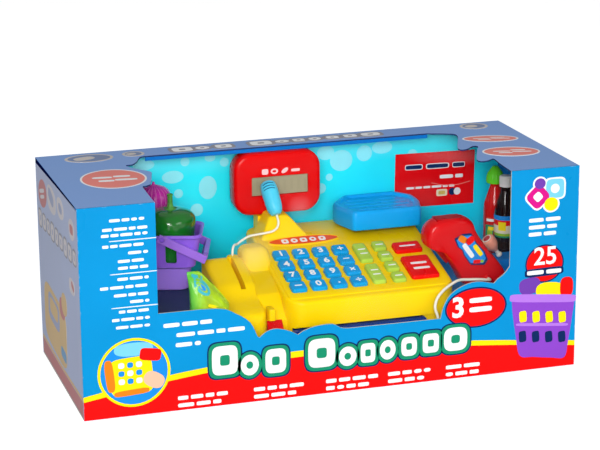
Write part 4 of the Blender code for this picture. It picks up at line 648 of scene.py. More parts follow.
# ---------------------------------------------------------------- register housing
# One yellow ABS moulding: body with a soft rim, raised keypad, card reader with its groove,
# saddle, tab, plug knob and display foot; hollow, with real key holes and the drawer's opening.
def skin(rings):
    """Closed skin over rings of as many points, one after the other, flat at both ends."""
    rings = np.array(rings, float)
    count = rings.shape[1]
    faces = [tuple(range(count))[::-1], tuple((len(rings) - 1) * count + k for k in range(count))]
    for row in range(len(rings) - 1):
        faces += [(row * count + k, row * count + (k + 1) % count,
                   (row + 1) * count + (k + 1) % count, (row + 1) * count + k) for k in range(count)]
    return rings.reshape(-1, 3), faces


def slab(x0, x1, y0, y1, corner, sections, height, rows, steps=10):
    """A block with round corners whose top follows height(y). Sections run from the foot up:
    (inset, fixed z) or (inset, None, drop under the top). Rows are the y of the cross lines."""
    rows = [y for y in rows if y0 + corner < y < y1 - corner]
    rings = []
    for inset, fixed, *drop in sections:
        radius = max(corner - inset, 0.0002)
        arcs = []
        for turn, cx, cy in ((-1, x1 - corner, y0 + corner), (0, x1 - corner, y1 - corner),
                             (1, x0 + corner, y1 - corner), (2, x0 + corner, y0 + corner)):
            angles = [pi / 2 * (turn + k / steps) for k in range(steps + 1)]
            arcs.append([(cx + radius * cos(a), cy + radius * sin(a)) for a in angles])
        right_side = [(x1 - corner + radius, y) for y in rows]
        left_side = [(x0 + corner - radius, y) for y in rows[::-1]]
        ring = arcs[0] + right_side + arcs[1] + arcs[2] + left_side + arcs[3]
        rings.append([(x, y, height(y) - drop[0] if fixed is None else fixed) for x, y in ring])
    data, faces = skin(rings)
    count, many, arc = len(rings[0]), len(rows), steps + 1
    right_side = list(range(arc, arc + many))
    left_side = list(range(3 * arc + many, 3 * arc + 2 * many))[::-1]
    base = (len(rings) - 1) * count
    front = list(range(3 * arc + 2 * many, count)) + list(range(arc)) + right_side[:1] + left_side[:1]
    rear = right_side[-1:] + list(range(arc + many, 3 * arc + many)) + left_side[-1:]
    caps = [front, rear] + [[right_side[k], right_side[k + 1], left_side[k + 1], left_side[k]]
                            for k in range(many - 1)]
    if many:
        faces[1] = tuple(base + k for k in caps[0])
        faces += [tuple(base + k for k in cap) for cap in caps[1:]]
    return data, faces


def rim(radius, steps=6):
    """Sections of a rounded upper edge."""
    return [(radius * (1 - cos(a)), None, radius * (1 - sin(a)))
            for a in np.linspace(0, pi / 2, steps)]


def panel(u, v, h):
    """A point on the keypad: u to the right, v up the slope, h square to it."""
    return (BODY_LEFT + u, FRONT_Y + v * cos(SLOPE) - h * sin(SLOPE),
            EDGE_Z + v * sin(SLOPE) + h * cos(SLOPE))


def rounded(cx, cy, width, length, radius, steps=6):
    """Points of a rectangle with round corners."""
    points = []
    for turn, sx, sy in ((0, 1, 1), (1, -1, 1), (2, -1, -1), (3, 1, -1)):
        for k in range(steps + 1):
            a = pi / 2 * (turn + k / steps)
            points.append((cx + sx * (width / 2 - radius) + radius * cos(a),
                           cy + sy * (length / 2 - radius) + radius * sin(a)))
    return points


def lofted(outlines, place):
    """Skin over outlines of (height, points) on a plane given by place."""
    return skin([[place(a, b, h) for a, b in outline] for h, outline in outlines])


def block(low, high):
    corners = [(low[0], low[1]), (high[0], low[1]), (high[0], high[1]), (low[0], high[1])]
    return skin([[(x, y, z) for x, y in corners] for z in (low[2], high[2])])


def turned(profile, steps=32, place=None, ribs=0, deep=0.0):
    """Turn (radius, height) pairs about an axis, with ribs down the side but not round its ends."""
    angles = circle(steps)
    rings = []
    for k, (r, z) in enumerate(profile):
        cut = deep * (0 < k < len(profile) - 2)
        radii = [r * (1 - cut * (0.5 + 0.5 * cos(ribs * a))) for a in angles]
        ring = [Vector((radius * cos(a), radius * sin(a), z)) for a, radius in zip(angles, radii)]
        rings.append([tuple(place @ p) if place else tuple(p) for p in ring])
    return skin(rings)


def at(x, y, z=0.0):
    return Matrix.Translation((x, y, z))


def toward(start, direction):
    """A matrix that takes +Z to the direction and the origin to the start."""
    turn = Vector((0, 0, 1)).rotation_difference(Vector(direction).normalized())
    return Matrix.Translation(Vector(start)) @ turn.to_matrix().to_4x4()


def carve(solids, cutters, material):
    """Cut solids out of another by an exact Boolean and give back plain points and faces."""
    body = build("carve_body", [(material, solids)], body=None)
    tools = [build("carve_tool", [(material, [cutter])], body=None) for cutter in cutters]
    for item in tools:
        modifier = body.modifiers.new("cut", "BOOLEAN")
        modifier.operation, modifier.solver, modifier.object = "DIFFERENCE", "EXACT", item
    evaluated = body.evaluated_get(bpy.context.evaluated_depsgraph_get())
    mesh = bpy.data.meshes.new_from_object(evaluated)
    result = (np.array([tuple(v.co) for v in mesh.vertices]), [tuple(p.vertices) for p in mesh.polygons])
    for item in [body] + tools:
        data = item.data
        bpy.data.objects.remove(item)
        bpy.data.meshes.remove(data)
    bpy.data.meshes.remove(mesh)
    return result


FIRST_ROW, ROW_PITCH, FIRST_COLUMN, COLUMN_PITCH = 0.026, 0.0214, 0.018, 0.022
LONG_COLUMN, SMALL_COLUMN, RED_COLUMN = 0.106, 0.128, 0.15745
BLUE_KEY, LONG_KEY, SMALL_KEY, FRONT_KEY, BACK_KEY = (
    (0.0163, 0.0165), (0.014, 0.0354), (0.014, 0.016), (0.0305, 0.042), (0.0305, 0.0185))
KEY_ROWS = ("1 2 3 plus", "4 5 6 minus", "7 8 9 times", "clear 0 point divide")
SIGNS = {"plus": "+", "minus": "-", "times": "x", "clear": None, "point": ".", "divide": "/"}


def key_layout():
    """Name, centre (u, v), size and sign of each key, from the back row to the front."""
    rows = [FIRST_ROW + k * ROW_PITCH for k in range(4)][::-1]
    keys = [("key_" + name, FIRST_COLUMN + k * COLUMN_PITCH, v, BLUE_KEY, SIGNS.get(name, name))
            for v, names in zip(rows, KEY_ROWS) for k, name in enumerate(names.split())]
    keys += [("key_long_back", LONG_COLUMN, (rows[0] + rows[1]) / 2, LONG_KEY, "bars"),
             ("key_long_front", LONG_COLUMN, (rows[2] + rows[3]) / 2, LONG_KEY, "bars")]
    keys += [(f"key_small_{k + 1}", SMALL_COLUMN, v, SMALL_KEY, "bar") for k, v in enumerate(rows)]
    front_v = rows[3] - BLUE_KEY[1] / 2 + 0.0025 + FRONT_KEY[1] / 2
    back_v = front_v + FRONT_KEY[1] / 2 + 0.011 + BACK_KEY[1] / 2
    return keys + [("key_red_front", RED_COLUMN, front_v, FRONT_KEY, "bars"),
                   ("key_red_back", RED_COLUMN, back_v, BACK_KEY, "bar")]


KEYS = key_layout()
yellow = finish("yellow_abs", (253, 212, 0), 0.3, 0.04, 14.0, 1600.0, 0.1, 0.00006, 0.12, under=0.05)
crease = FRONT_Y + 0.13368


def slope(y, drop):
    """Height of the keypad's slope at one depth, lowered by a drop."""
    return EDGE_Z - drop + (y - FRONT_Y) * tan(SLOPE)


def body_top(y):
    """The slope and the flat behind it, with a soft crease."""
    line, soft = slope(y, 0.0012), 0.0006
    return (line + BODY_TOP - sqrt((line - BODY_TOP) ** 2 + soft ** 2)) / 2


def inner_top(y):
    return min(slope(y, WALL / cos(SLOPE)), BODY_TOP - WALL)


cross_lines = sorted(list(np.linspace(FRONT_Y + 0.021, REAR_Y - 0.021, 14))
                     + [crease + k * 0.003 for k in range(-3, 4)])
body = slab(BODY_LEFT, BODY_RIGHT, FRONT_Y, REAR_Y, 0.02,
            [(0.0, SHELL_Z), (0.0, LIP_Z)] + rim(0.0034) + [(0.0198, None, 0.0)], body_top, cross_lines)
cavity = slab(BODY_LEFT + WALL, BODY_RIGHT - WALL, FRONT_Y + 0.007, REAR_Y - WALL, 0.017,
              [(0.0, SHELL_Z - 0.002), (0.0, None, 0.0), (0.0168, None, 0.0)], inner_top, cross_lines)
recess = block((BODY_LEFT - 0.01, FRONT_Y - 0.01, SHELL_Z - 0.01),
               (BODY_RIGHT + 0.01, FRONT_Y + 0.004, LIP_Z))
opening = block((BODY_LEFT + 0.0055, FRONT_Y + 0.002, SHELL_Z - 0.002),
                (BODY_RIGHT - 0.0365, FRONT_Y + 0.02, LIP_Z - 0.0015))
key_holes = [lofted([(h, rounded(u, v, w + 0.0008, d + 0.0008, 0.0034)) for h in (-0.007, 0.002)], panel)
             for _, u, v, (w, d), _ in KEYS]
stem_hole = turned([(0.0084, BODY_TOP - 0.005), (0.0084, BODY_TOP + 0.002)], 32, at(*PAN_AT))
body = carve([body], [recess, cavity, opening, stem_hole] + key_holes, yellow)
length = SLOPE_LENGTH - 0.011
pad = [(h, rounded(BODY_WIDTH / 2, 0.0075 + length / 2, BODY_WIDTH - 0.007 - 2 * grow, length - 2 * grow,
                   0.006 - grow))
       for h, grow in ((-0.0016, 0.0), (-0.0006, 0.0), (-0.0002, 0.00015), (0.0, 0.0006))]
pad = carve([lofted(pad, panel)], key_holes, yellow)

READER = [(0.0, -0.0149), (0.004, -0.0094), (0.028, -0.0024), (0.038, 0.0031), (0.045, 0.0086),
          (0.054, 0.0126), (0.088, 0.0233), (0.098, 0.0241), (0.107, 0.0206), (0.112, 0.0121)]
SADDLE = [(0.012, -0.0219), (0.02, -0.0109), (0.04, 0.0046), (0.07, 0.0141), (0.095, 0.0196), (0.106, 0.0181),
          (0.11, 0.0101)]


def read_off(curve, value, given=1, wanted=0):
    """What one column of a curve is where another has a value."""
    return float(np.interp(value, curve[:, given], curve[:, wanted]))


def profile_height(profile):
    """Height over depth along a smooth curve through a profile."""
    curve = smooth(profile, 6)
    return lambda y: EDGE_Z + read_off(curve, y - FRONT_Y, 0, 1)


READER_DEPTH, GROOVE_NEAR, GROOVE_FAR, GROOVE_OPEN = 0.112, 0.0415, 0.099, 0.0411
reader_rows = list(np.linspace(FRONT_Y, FRONT_Y + READER_DEPTH, 42))
reader = slab(REGISTER_LEFT, READER_RIGHT, FRONT_Y, FRONT_Y + READER_DEPTH, 0.012,
              [(0.0, SHELL_Z)] + rim(0.0048) + [(0.0118, None, -0.0004)], profile_height(READER), reader_rows)
groove_x = REGISTER_LEFT + (READER_RIGHT - REGISTER_LEFT) * 0.66
groove = [(FRONT_Y + a, EDGE_Z + b) for a, b in ((GROOVE_NEAR, -0.0079), (GROOVE_NEAR, GROOVE_OPEN),
                                                 (GROOVE_FAR, GROOVE_OPEN), (GROOVE_FAR, 0.0141))]
groove = skin([[(x, y, z) for y, z in groove] for x in (groove_x - 0.0025, groove_x + 0.0025)])
reader = carve([reader], [groove], yellow)
saddle = slab(READER_RIGHT - 0.003, BODY_LEFT + 0.0025, FRONT_Y + 0.012, FRONT_Y + 0.11, 0.0002,
              [(0.0, SHELL_Z), (0.0, None, 0.0), (0.0001, None, 0.0)], profile_height(SADDLE), reader_rows, 1)


def boss_top(y):
    """The soft boss between the body and the reader rises to the rear, under the cord."""
    share = min(1.0, max(0.0, (y + 0.024) / 0.034))
    return 0.106 + 0.0215 * share * share * (3 - 2 * share)


BOSS_LEFT, BOSS_RIGHT, BOSS_FRONT, BOSS_REAR, BOSS_FOOT = -0.0685, -0.038, -0.024, 0.031, 0.09
boss = slab(BOSS_LEFT, BOSS_RIGHT, BOSS_FRONT, BOSS_REAR, 0.011,
            [(0.0, BOSS_FOOT)] + rim(0.0085) + [(0.0108, None, 0.0)],
            boss_top, list(np.linspace(BOSS_FRONT, BOSS_REAR, 16)))
tab = slab(READER_RIGHT + 0.001, READER_RIGHT + 0.008, FRONT_Y + 0.002, FRONT_Y + 0.016, 0.002,
           [(0.0, EDGE_Z - 0.0179)] + rim(0.0012, 4), lambda y: EDGE_Z - 0.0059, [], 4)
knob = turned([(0.0064, EDGE_Z + 0.0111), (0.0064, EDGE_Z + 0.0223), (0.0058, EDGE_Z + 0.0236),
               (0.0045, EDGE_Z + 0.0241)], 32, at(READER_RIGHT - 0.009, FRONT_Y + 0.105))
NECK_X, DISPLAY_Y, DISPLAY_X, DISPLAY_Z = -0.0141, 0.06999, -0.0571, 0.14387
NECK_HEIGHT = 0.0236
neck = []
for share, grow in ((0.0, 0.0), (0.06, 0.0), (0.5, 0.0), (0.93, 0.0), (0.975, 0.0006), (1.0, 0.0018)):
    left, right_side = 0.024 - 0.012 * share - grow, 0.03 - 0.021 * share - grow
    near, far = DISPLAY_Y - 0.036 + 0.01 * share + grow, DISPLAY_Y - 0.0003
    outline = rounded(NECK_X + (right_side - left) / 2, (near + far) / 2, left + right_side, far - near,
                      0.0035)
    neck.append([(x, y, BODY_TOP - 0.002 + NECK_HEIGHT * share) for x, y in outline])
neck = skin(neck)
seat = block((NECK_X - 0.018, DISPLAY_Y - 0.002, BODY_TOP - 0.002),
             (NECK_X + 0.01, REAR_Y - 0.001, DISPLAY_Z - GAP))
gland = turned([(0.0036, -0.002), (0.0036, 0.002), (0.0026, 0.0038)], 20,
               toward((BODY_RIGHT - 0.015, FRONT_Y + 0.004, 0.044), (0, -1, 0)))
build("housing", [(yellow, [body, pad, reader, saddle, boss, tab, knob, neck, seat, gland])],
      sharp=32, instead="register_shell")

# The oval plate over the keypad holds no name: a raised rim round an orange-red field
# with plain shapes
plate_red = finish("plate_print", (236, 74, 20), 0.3, 0.05, 30.0)
plate_rim = finish("plate_rim", (252, 206, 10), 0.3, 0.05, 30.0)
PLATE = (0.052, FIRST_ROW + 3 * ROW_PITCH + 0.0288)
PLATE_SPOTS = [(PLATE[0] + k * 0.0104, PLATE[1], k) for k in (-2, -1, 0, 1, 2)]
plate = [(plate_rim, [band(oval(*PLATE, 0.04, 0.0092, 64), oval(*PLATE, 0.0384, 0.0079, 64), 0.0, 0.0012)]),
         (plate_red, [flat(oval(*PLATE, 0.0386, 0.0081, 64), 0.0, 0.0008)]),
         ("white", [flat(oval(u, v, 0.0038, 0.0041, 32, 0.0, 1.0 if k % 2 else 0.5), 0.0, 0.0011)
                    for u, v, k in PLATE_SPOTS]),
         (plate_red, [flat(oval(u, v, 0.0015, 0.0016, 20), 0.0, 0.0012) for u, v, k in PLATE_SPOTS])]
build("name_plate", plate, panel)

# ---------------------------------------------------------------- keys
# Coloured ABS caps with dished tops, each moving in its own hole; the blue ones carry plain
# digits and signs in white, the others bars where the real ones have words.
key_blue = finish("key_blue", (0, 156, 224), 0.28, 0.05, 40.0, 1800.0, 0.08)
key_green = finish("key_green", (176, 212, 74), 0.28, 0.05, 40.0, 1800.0, 0.08)
key_red = finish("key_red", (236, 8, 8), 0.26, 0.05, 40.0, 1800.0, 0.08)
mark_white = finish("key_mark", (244, 246, 246), 0.4, 0.02, 60.0)
CAP = ((-0.0038, 0.0), (0.0022, 0.0), (0.0032, 0.0003), (0.0038, 0.0009), (0.004, 0.0018), (0.0039, 0.003))
KEY_KINDS = {"red": (key_red, "red_plastic"), "long": (key_green, "green_plastic"),
             "small": (key_green, "green_plastic")}
MARK_LOW, MARK_HIGH = 0.0037, 0.0041


def mark(u, v, half, thick, tilt=0.0, raised=0.0):
    """One bar of a sign on a key."""
    return flat(bar(u - half, u + half, v, thick, tilt), MARK_LOW, MARK_HIGH + raised)


def key_marks(u, v, w, d, sign):
    """The sign on a key; keys with words in the real toy get bars."""
    if sign in ("bar", "bars"):
        return [mark(u, v + d * s, w * 0.3, min(w, d) * 0.13)
                for s in ((0.0,) if sign == "bar" else (0.12, -0.12))]
    if sign == "/":
        dots = [flat(oval(u, v + s, 0.0009, 0.0009, 16), MARK_LOW, MARK_HIGH) for s in (-0.0025, 0.0025)]
        return [mark(u, v, 0.0034, 0.0013)] + dots
    if sign == "x":
        return [mark(u, v, 0.0036, 0.0013, pi / 4), mark(u, v, 0.0036, 0.0013, -pi / 4, 0.00004)]
    if sign == "-":
        return [mark(u, v, 0.0034, 0.0014)]
    if sign == "+":
        upright = flat(oval(u, v, 0.0007, 0.0034, 16, 0.0, 0.35), MARK_LOW, MARK_HIGH + 0.00004)
        return [mark(u, v, 0.0034, 0.0014), upright]
    if sign == ".":
        return [flat(oval(u, v - 0.002, 0.0011, 0.0011, 20), MARK_LOW, MARK_HIGH)]
    return [mark(u, v, 0.004, 0.0018)] if sign is None else glyph(sign, u, v, 0.0125, MARK_LOW, MARK_HIGH)


for name, u, v, (w, d), sign in KEYS:
    colour, slot_name = KEY_KINDS.get(name.split("_")[1], (key_blue, "blue_plastic"))
    cap = lofted([(h, rounded(u, v, w - 2 * grow, d - 2 * grow, max(0.003 - grow, 0.0008)))
                  for h, grow in CAP], panel)
    marks = [(np.array([panel(*p) for p in points]), faces) for points, faces in key_marks(u, v, w, d, sign)]
    build(name + "_cap", [(colour, [cap]), (mark_white, marks)], body=name, instead=name)

# ---------------------------------------------------------------- display
# A glossy red head on the neck, a sunk grey-green LCD, four small signs above it.
display_red = finish("display_red", (222, 2, 4), 0.2, 0.05, 16.0, 1500.0, 0.05, specular=0.15)
DISPLAY_W, DISPLAY_H = 0.098, 0.0688
cx, cz = DISPLAY_X + DISPLAY_W / 2, DISPLAY_Z + DISPLAY_H / 2


def on_display(a, b, h):
    return a, DISPLAY_Y - h, b


head = []
for depth, inset in ((0.025, 0.005), (0.0243, 0.003), (0.0225, 0.0012), (0.019, 0.0), (0.0045, 0.0),
                     (0.0024, 0.0006), (0.001, 0.0018), (0.0003, 0.0032), (0.0, 0.005)):
    head.append((-depth, rounded(cx, cz, DISPLAY_W - 2 * inset, DISPLAY_H - 2 * inset, 0.019 - inset * 0.6,
                                 10)))
head = lofted(head[::-1], on_display)
LCD = (DISPLAY_X + 0.02, DISPLAY_Z + 0.022, 0.063, 0.02)
pocket = lofted([(h, rounded(LCD[0] + LCD[2] / 2, LCD[1] + LCD[3] / 2, LCD[2] + grow, LCD[3] + grow, corner))
                 for h, grow, corner in ((0.002, 0.0016, 0.0016), (-0.0036, 0.0006, 0.0012))], on_display)
head = carve([head], [pocket], display_red)
build("display_head", [(display_red, [head])], sharp=30, instead="display_housing")
sign_z = LCD[1] + 0.0262
signs = [flat(oval(DISPLAY_X + 0.0345, sign_z, 0.0036, 0.0031, 24, 0.0, 0.5)),
         band(oval(DISPLAY_X + 0.045, sign_z, 0.0042, 0.0031, 24),
              oval(DISPLAY_X + 0.045, sign_z, 0.0022, 0.0014, 24)),
         flat(oval(DISPLAY_X + 0.0568, sign_z, 0.0043, 0.0023, 24, 0.6)),
         flat(bar(DISPLAY_X + 0.064, DISPLAY_X + 0.0738, sign_z - 0.0003, 0.003))]
build("display_signs", [(finish("display_mark", (244, 196, 198), 0.4), signs)], on_display)
lcd = finish("lcd_glass", (158, 150, 122), 0.12, 0.04, 20.0, 3000.0, 0.02, coat=0.4)
tree = lcd.node_tree
place, _ = axes(tree)
cell = maths(tree, "FRACT", maths(tree, "DIVIDE", place["X"], 0.0078))
ghost = 0.2
for value, middle, low, high in ((cell, 0.5, 0.3, 0.32), (place["Z"], LCD[1] + 0.01, 0.0062, 0.006)):
    away = maths(tree, "ABSOLUTE", maths(tree, "SUBTRACT", value, middle))
    ghost = maths(tree, "MULTIPLY", ghost, ramp(tree, away, low, high))
overlay(lcd, (140, 134, 108), ghost)
dress("lcd_window", lcd)

# ---------------------------------------------------------------- weighing pan
# A blue eight-sided tray with a rolled rim, a sunk floor with ribs, on a stem.
pan_blue = finish("pan_blue", (0, 164, 240), 0.26, 0.05, 22.0)
PAN_HALF, PAN_CORNER = (0.048, 0.037), 0.0045
PAN_CORNERS = [(-0.81, -1.0), (0.81, -1.0), (1.0, -0.19), (1.0, 0.43), (0.69, 1.0), (-0.56, 1.0),
               (-1.0, 0.27), (-1.0, -0.08)]


def pan_ring(z, inset):
    """The pan's outline, eight sides with soft corners, at one height."""
    corners = np.array(PAN_CORNERS) * (PAN_HALF[0] - inset, PAN_HALF[1] - inset)
    points = []
    for k in range(8):
        before, corner, after = corners[k - 1], corners[k], corners[(k + 1) % 8]
        start, end = (corner + (other - corner) / np.linalg.norm(other - corner) * PAN_CORNER
                      for other in (before, after))
        points += [start * (1 - t) ** 2 + 2 * corner * t * (1 - t) + end * t ** 2
                   for t in np.linspace(0, 1, 7)]
    return [(PAN_AT[0] + a, PAN_AT[1] + b, z) for a, b in points]


def stem_ring(z, radius):
    """A circle of as many points, each where the outline's own point lies."""
    return [(PAN_AT[0] + radius * cos(a), PAN_AT[1] + radius * sin(a), z) for a in angles]


angles = [atan2(y - PAN_AT[1], x - PAN_AT[0]) for x, y, _ in pan_ring(0, 0)]
low, roof = BODY_TOP + 0.0024, BODY_TOP - WALL
pan = [stem_ring(z, radius) for z, radius in (
    (roof - 0.0053, 0.011), (roof - 0.0003, 0.011), (roof - 0.0003, 0.008), (low + 0.015, 0.008))]
pan += [pan_ring(low + z, inset) for z, inset in (
    (0.015, 0.004), (0.0002, 0.003), (0.0, 0.0012), (0.001, 0.0002), (0.004, 0.0), (0.017, 0.0),
    (0.0195, 0.0006), (0.021, 0.002), (0.0215, 0.0038), (0.0212, 0.0056), (0.02, 0.0068), (0.0188, 0.0076),
    (0.0185, 0.01))]
RIB = ((-0.0018, 0.018), (-0.0012, 0.0192), (0.0012, 0.0192), (0.0018, 0.018))
pan_parts = [skin(pan)]
for k, half in enumerate((0.028, 0.035, 0.035, 0.028)):
    y = PAN_AT[1] - 0.019 + k * 0.0125
    pan_parts.append(skin([[(PAN_AT[0] + s * half, y + across, low + up) for across, up in RIB]
                           for s in (-1, 1)]))
build("weighing_pan", [(pan_blue, pan_parts)], sharp=30, body="scale_pan", instead="scale_pan")

# ---------------------------------------------------------------- microphone
# A light-blue capsule with three curved slots near its head, drawn as dark tubes whose colour is painted
# shade, leaning on the display.
mic_blue = finish("mic_blue", (78, 204, 236), 0.28, 0.05, 40.0)
mic_slot_shade = finish("mic_slot", (12, 92, 140), 0.5, 0.05, 40.0)
MIC_RADIUS, MIC_LENGTH = 0.0092, 0.039
foot_at = Vector((NECK_X - 0.005, DISPLAY_Y - 0.03, BODY_TOP + 0.0216 + 0.0024))
head_at = Vector((NECK_X - 0.01, DISPLAY_Y - GAP - MIC_RADIUS * 0.88, foot_at.z + MIC_LENGTH * 0.9))
mic = toward(foot_at, head_at - foot_at)
MIC = smooth([(MIC_RADIUS * r, MIC_LENGTH * z) for r, z in (
    (0.435, 0.0), (0.62, 0.02), (0.86, 0.14), (0.96, 0.3), (0.97, 0.45), (1.0, 0.615), (0.98, 0.77),
    (0.85, 0.91), (0.5, 0.98), (0.15, 1.0))], 4)
view_back = mic.to_3x3().inverted() @ Vector((-0.25, -1.0, 0.35))
facing = atan2(view_back.y, view_back.x)


def tube(path, radius, sides=8):
    """A round tube along a path."""
    path = np.array(path, float)
    tangents = np.gradient(path, axis=0)
    rings, side = [], None
    for point, tangent in zip(path, tangents):
        tangent = Vector(tangent).normalized()
        side = tangent.orthogonal() if side is None else side - tangent * side.dot(tangent)
        side.normalize()
        other = tangent.cross(side)
        rings.append([tuple(Vector(point) + radius * (cos(a) * side + sin(a) * other))
                      for a in circle(sides)])
    return skin(rings)


# The slots are dark tubes laid on the surface: their colour is painted shade for the slots' insides.
slots = []
for z in (0.0272, 0.0302, 0.0332):
    radius = read_off(MIC, z) - 0.0003
    path = [tuple(mic @ Vector((radius * cos(facing + a), radius * sin(facing + a), z + 0.0012 * cos(a * 2))))
            for a in np.linspace(-0.75, 0.75, 12)]
    slots.append(tube(path, 0.0006))
build("microphone_body", [(mic_blue, [turned([tuple(p) for p in MIC], 40, mic)]), (mic_slot_shade, slots)],
      instead="microphone")

# ---------------------------------------------------------------- drawer, base and the inside
# The drawer and the base keep their solids; the inside pieces get plain working finishes.
drawer_navy = finish("drawer_navy", (0, 60, 160), 0.32, 0.05, 30.0)
base_red = finish("base_red", (214, 8, 10), 0.34, 0.06, 30.0)
board_green = finish("board_green", (24, 110, 60), 0.5, 0.1, 60.0)
rubber = finish("rubber_grey", (140, 142, 146), 0.75, 0.05, 60.0)
speaker_black = finish("speaker_black", (34, 34, 36), 0.55, 0.1, 60.0)
for name, material in (("cash_drawer", drawer_navy), ("register_base", base_red), ("battery_door", base_red),
                       ("circuit_board", board_green), ("key_membrane", rubber), ("speaker", speaker_black)):
    dress(name, material)

# ---------------------------------------------------------------- scanner
# Two glossy red half shells: a broad head with a darker window on top and a curved grip, a
# trigger under the head, a label place with plain shapes, and a short cord gland.
scanner_red = finish("scanner_red", (208, 2, 10), 0.2, 0.06, 20.0, 1500.0, 0.05, specular=0.3)
trigger_red = finish("trigger_red", (150, 6, 14), 0.35, 0.06, 30.0)
window_dark = finish("scanner_pane", (176, 2, 10), 0.3, 0.05, 30.0, specular=0.1)
SCANNER = [(0.0, 0.742), (0.032, 0.881), (0.119, 0.962), (0.259, 0.994), (0.4, 1.0), (0.508, 0.975),
           (0.584, 0.906), (0.627, 0.78), (0.757, 0.553), (0.897, 0.352), (1.0, 0.176), (0.995, 0.075),
           (0.908, 0.015), (0.714, 0.0025), (0.541, 0.015), (0.454, 0.094), (0.4, 0.214), (0.303, 0.39),
           (0.205, 0.528), (0.086, 0.579), (0.022, 0.642)]
SCANNER_LENGTH, SCANNER_HEIGHT = 0.0925, 0.0795
sx, sz, middle, half = BODY_RIGHT - 0.026, RIGHT_PLATFORM + GAP, FRONT_Y + 0.038, 0.013
shape = smooth([(sx + a * SCANNER_LENGTH, sz + b * SCANNER_HEIGHT) for a, b in SCANNER], 5, closed=True)
centre = np.mean(shape[::5], axis=0)
rings = []
for turn in np.linspace(-pi / 2, pi / 2, 17):
    scale = 0.78 + 0.22 * cos(turn) ** 0.55 if abs(turn) < 1.56 else 0.78
    y = middle + half * sin(turn)
    rings.append([(centre[0] + (a - centre[0]) * scale, y, max(centre[1] + (b - centre[1]) * scale, sz))
                  for a, b in shape])
seat_at = Vector((sx + 0.0245, middle, sz + 0.0375))
lean = Matrix.Rotation(radians(-39), 4, "Y")


def leaned(low, high):
    points, faces = block(low, high)
    return np.array([tuple(seat_at + lean @ Vector(p)) for p in points]), faces


pane_hole = block((sx + 0.0135, middle - 0.008, sz + 0.074), (sx + 0.0425, middle + 0.008, sz + 0.09))
slot_hole = leaned((-0.01, -0.0043, -0.0083), (0.0063, 0.0043, 0.0083))
shell = carve([skin(rings)], [pane_hole, slot_hole], scanner_red)
gland = turned([(0.0036, -0.006), (0.0036, 0.0014), (0.0031, 0.002), (0.0025, 0.0042)], 24,
               toward((sx + 0.069, middle - half + 0.001, sz + 0.011), (0, -1, 0)))
pane = block((sx + 0.0137, middle - 0.0078, sz + 0.0738), (sx + 0.0423, middle + 0.0078, sz + 0.0784))
build("scanner_shell", [(scanner_red, [shell, gland]), (window_dark, [pane])], sharp=32,
      instead="scanner_body")
dress("scanner_trigger", trigger_red)


def on_scanner(a, b, h):
    """The scanner's flat side that faces the window."""
    return sx + a, middle - half - 0.0002 - h, sz + b


LABEL = mm([(31, 57.5), (40, 62), (50, 62), (57, 50), (66, 40), (69.5, 31), (66, 25.5), (50, 27), (42, 38),
            (40, 44), (35, 48)])
label_centre = LABEL.mean(axis=0)
label = {"navy": [flat(LABEL, 0, 0.0002)],
         "azure": [flat(label_centre + (LABEL - label_centre) * 0.88, 0, 0.00024)]}
for name, a, b, half_a, half_b, turn, square in (
        ("orange", 40.5, 56, 5.0, 3.6, -0.6, 0.6), ("red", 49, 54, 3.8, 5.0, -0.9, 0.6),
        ("yellow", 58, 42.5, 7.5, 2.5, -0.95, 0.4), ("white", 47, 43, 9.5, 2.6, -0.95, 0.4),
        ("red", 57, 30, 4.2, 2.2, 0.0, 0.5), ("lime", 63, 30, 1.8, 1.8, 0.0, 1.0)):
    label.setdefault(name, []).append(flat(spot(a, b, half_a, half_b, turn, square, 32), 0, 0.00028))
build("scanner_label", list(label.items()), on_scanner)

# ---------------------------------------------------------------- bank card
# A thin red plastic card on the back card: gold chip, pale bars for the words, two discs.
card_red = finish("card_red", (232, 8, 18), 0.25, 0.06, 24.0, 1800.0, 0.05)
dress("bank_card", card_red)
gold = finish("chip_gold", (214, 186, 96), 0.3, 0.1, 300.0)
card_at = Vector((BODY_RIGHT + 0.0445, BACKDROP_Y - GAP - 0.0006, BODY_TOP + 0.032))
card_turn = Matrix.Rotation(radians(1.0), 4, "Y")


def on_card(a, b, h):
    point = card_turn @ Vector((a, -h, b))
    return card_at.x + point.x, card_at.y + point.y, card_at.z + point.z


face = {"cream": [flat(oval(0.009, -0.0165, 0.0066, 0.004, 32, 0.0, 0.35))],
        "gold": [flat(oval(0.009, -0.0165, 0.004, 0.0022, 24, 0.0, 0.4), 0, 0.00009)],
        "white": words(0.006, 0.034, 0.002, 0.0042, 96) + words(-0.034, 0.024, -0.009, 0.0026, 97),
        "navy": [], "pink": []}
for points, faces in words(-0.036, 0.036, 0.015, 0.0064, 95):
    middle_point = points.mean(axis=0)
    face["navy"].append(((points - middle_point) * (0.92, 0.72, 1) + middle_point + (0, 0, 0.00005), faces))
    face["white"].append((points, faces))
face["navy"].append(flat(oval(0.0215, -0.016, 0.0042, 0.0042, 32)))
face["white"].append(flat(oval(0.0275, -0.016, 0.0042, 0.0042, 32), 0, 0.00009))
face["pink"].append(flat(list(smooth(mm([(-4, -4.6), (12, -8.4), (28, -8.6), (43, -5.6)]), 8)) +
                         list(smooth(mm([(43, -4.8), (28, -7.8), (12, -7.6), (-4, -4.0)]), 8)), 0, 0.00011))
face_parts = [(name, face[name]) for name in ("cream", "white", "navy", "pink")]
build("card_face", [(gold, face["gold"])] + face_parts, on_card)

# ---------------------------------------------------------------- basket
# A thin purple polyethylene basket with a step, slots with soft ends, a rolled rim and a strap
# handle on two pins.
basket_purple = finish("basket_purple", (144, 96, 222), 0.32, 0.08, 26.0, under=0.15)
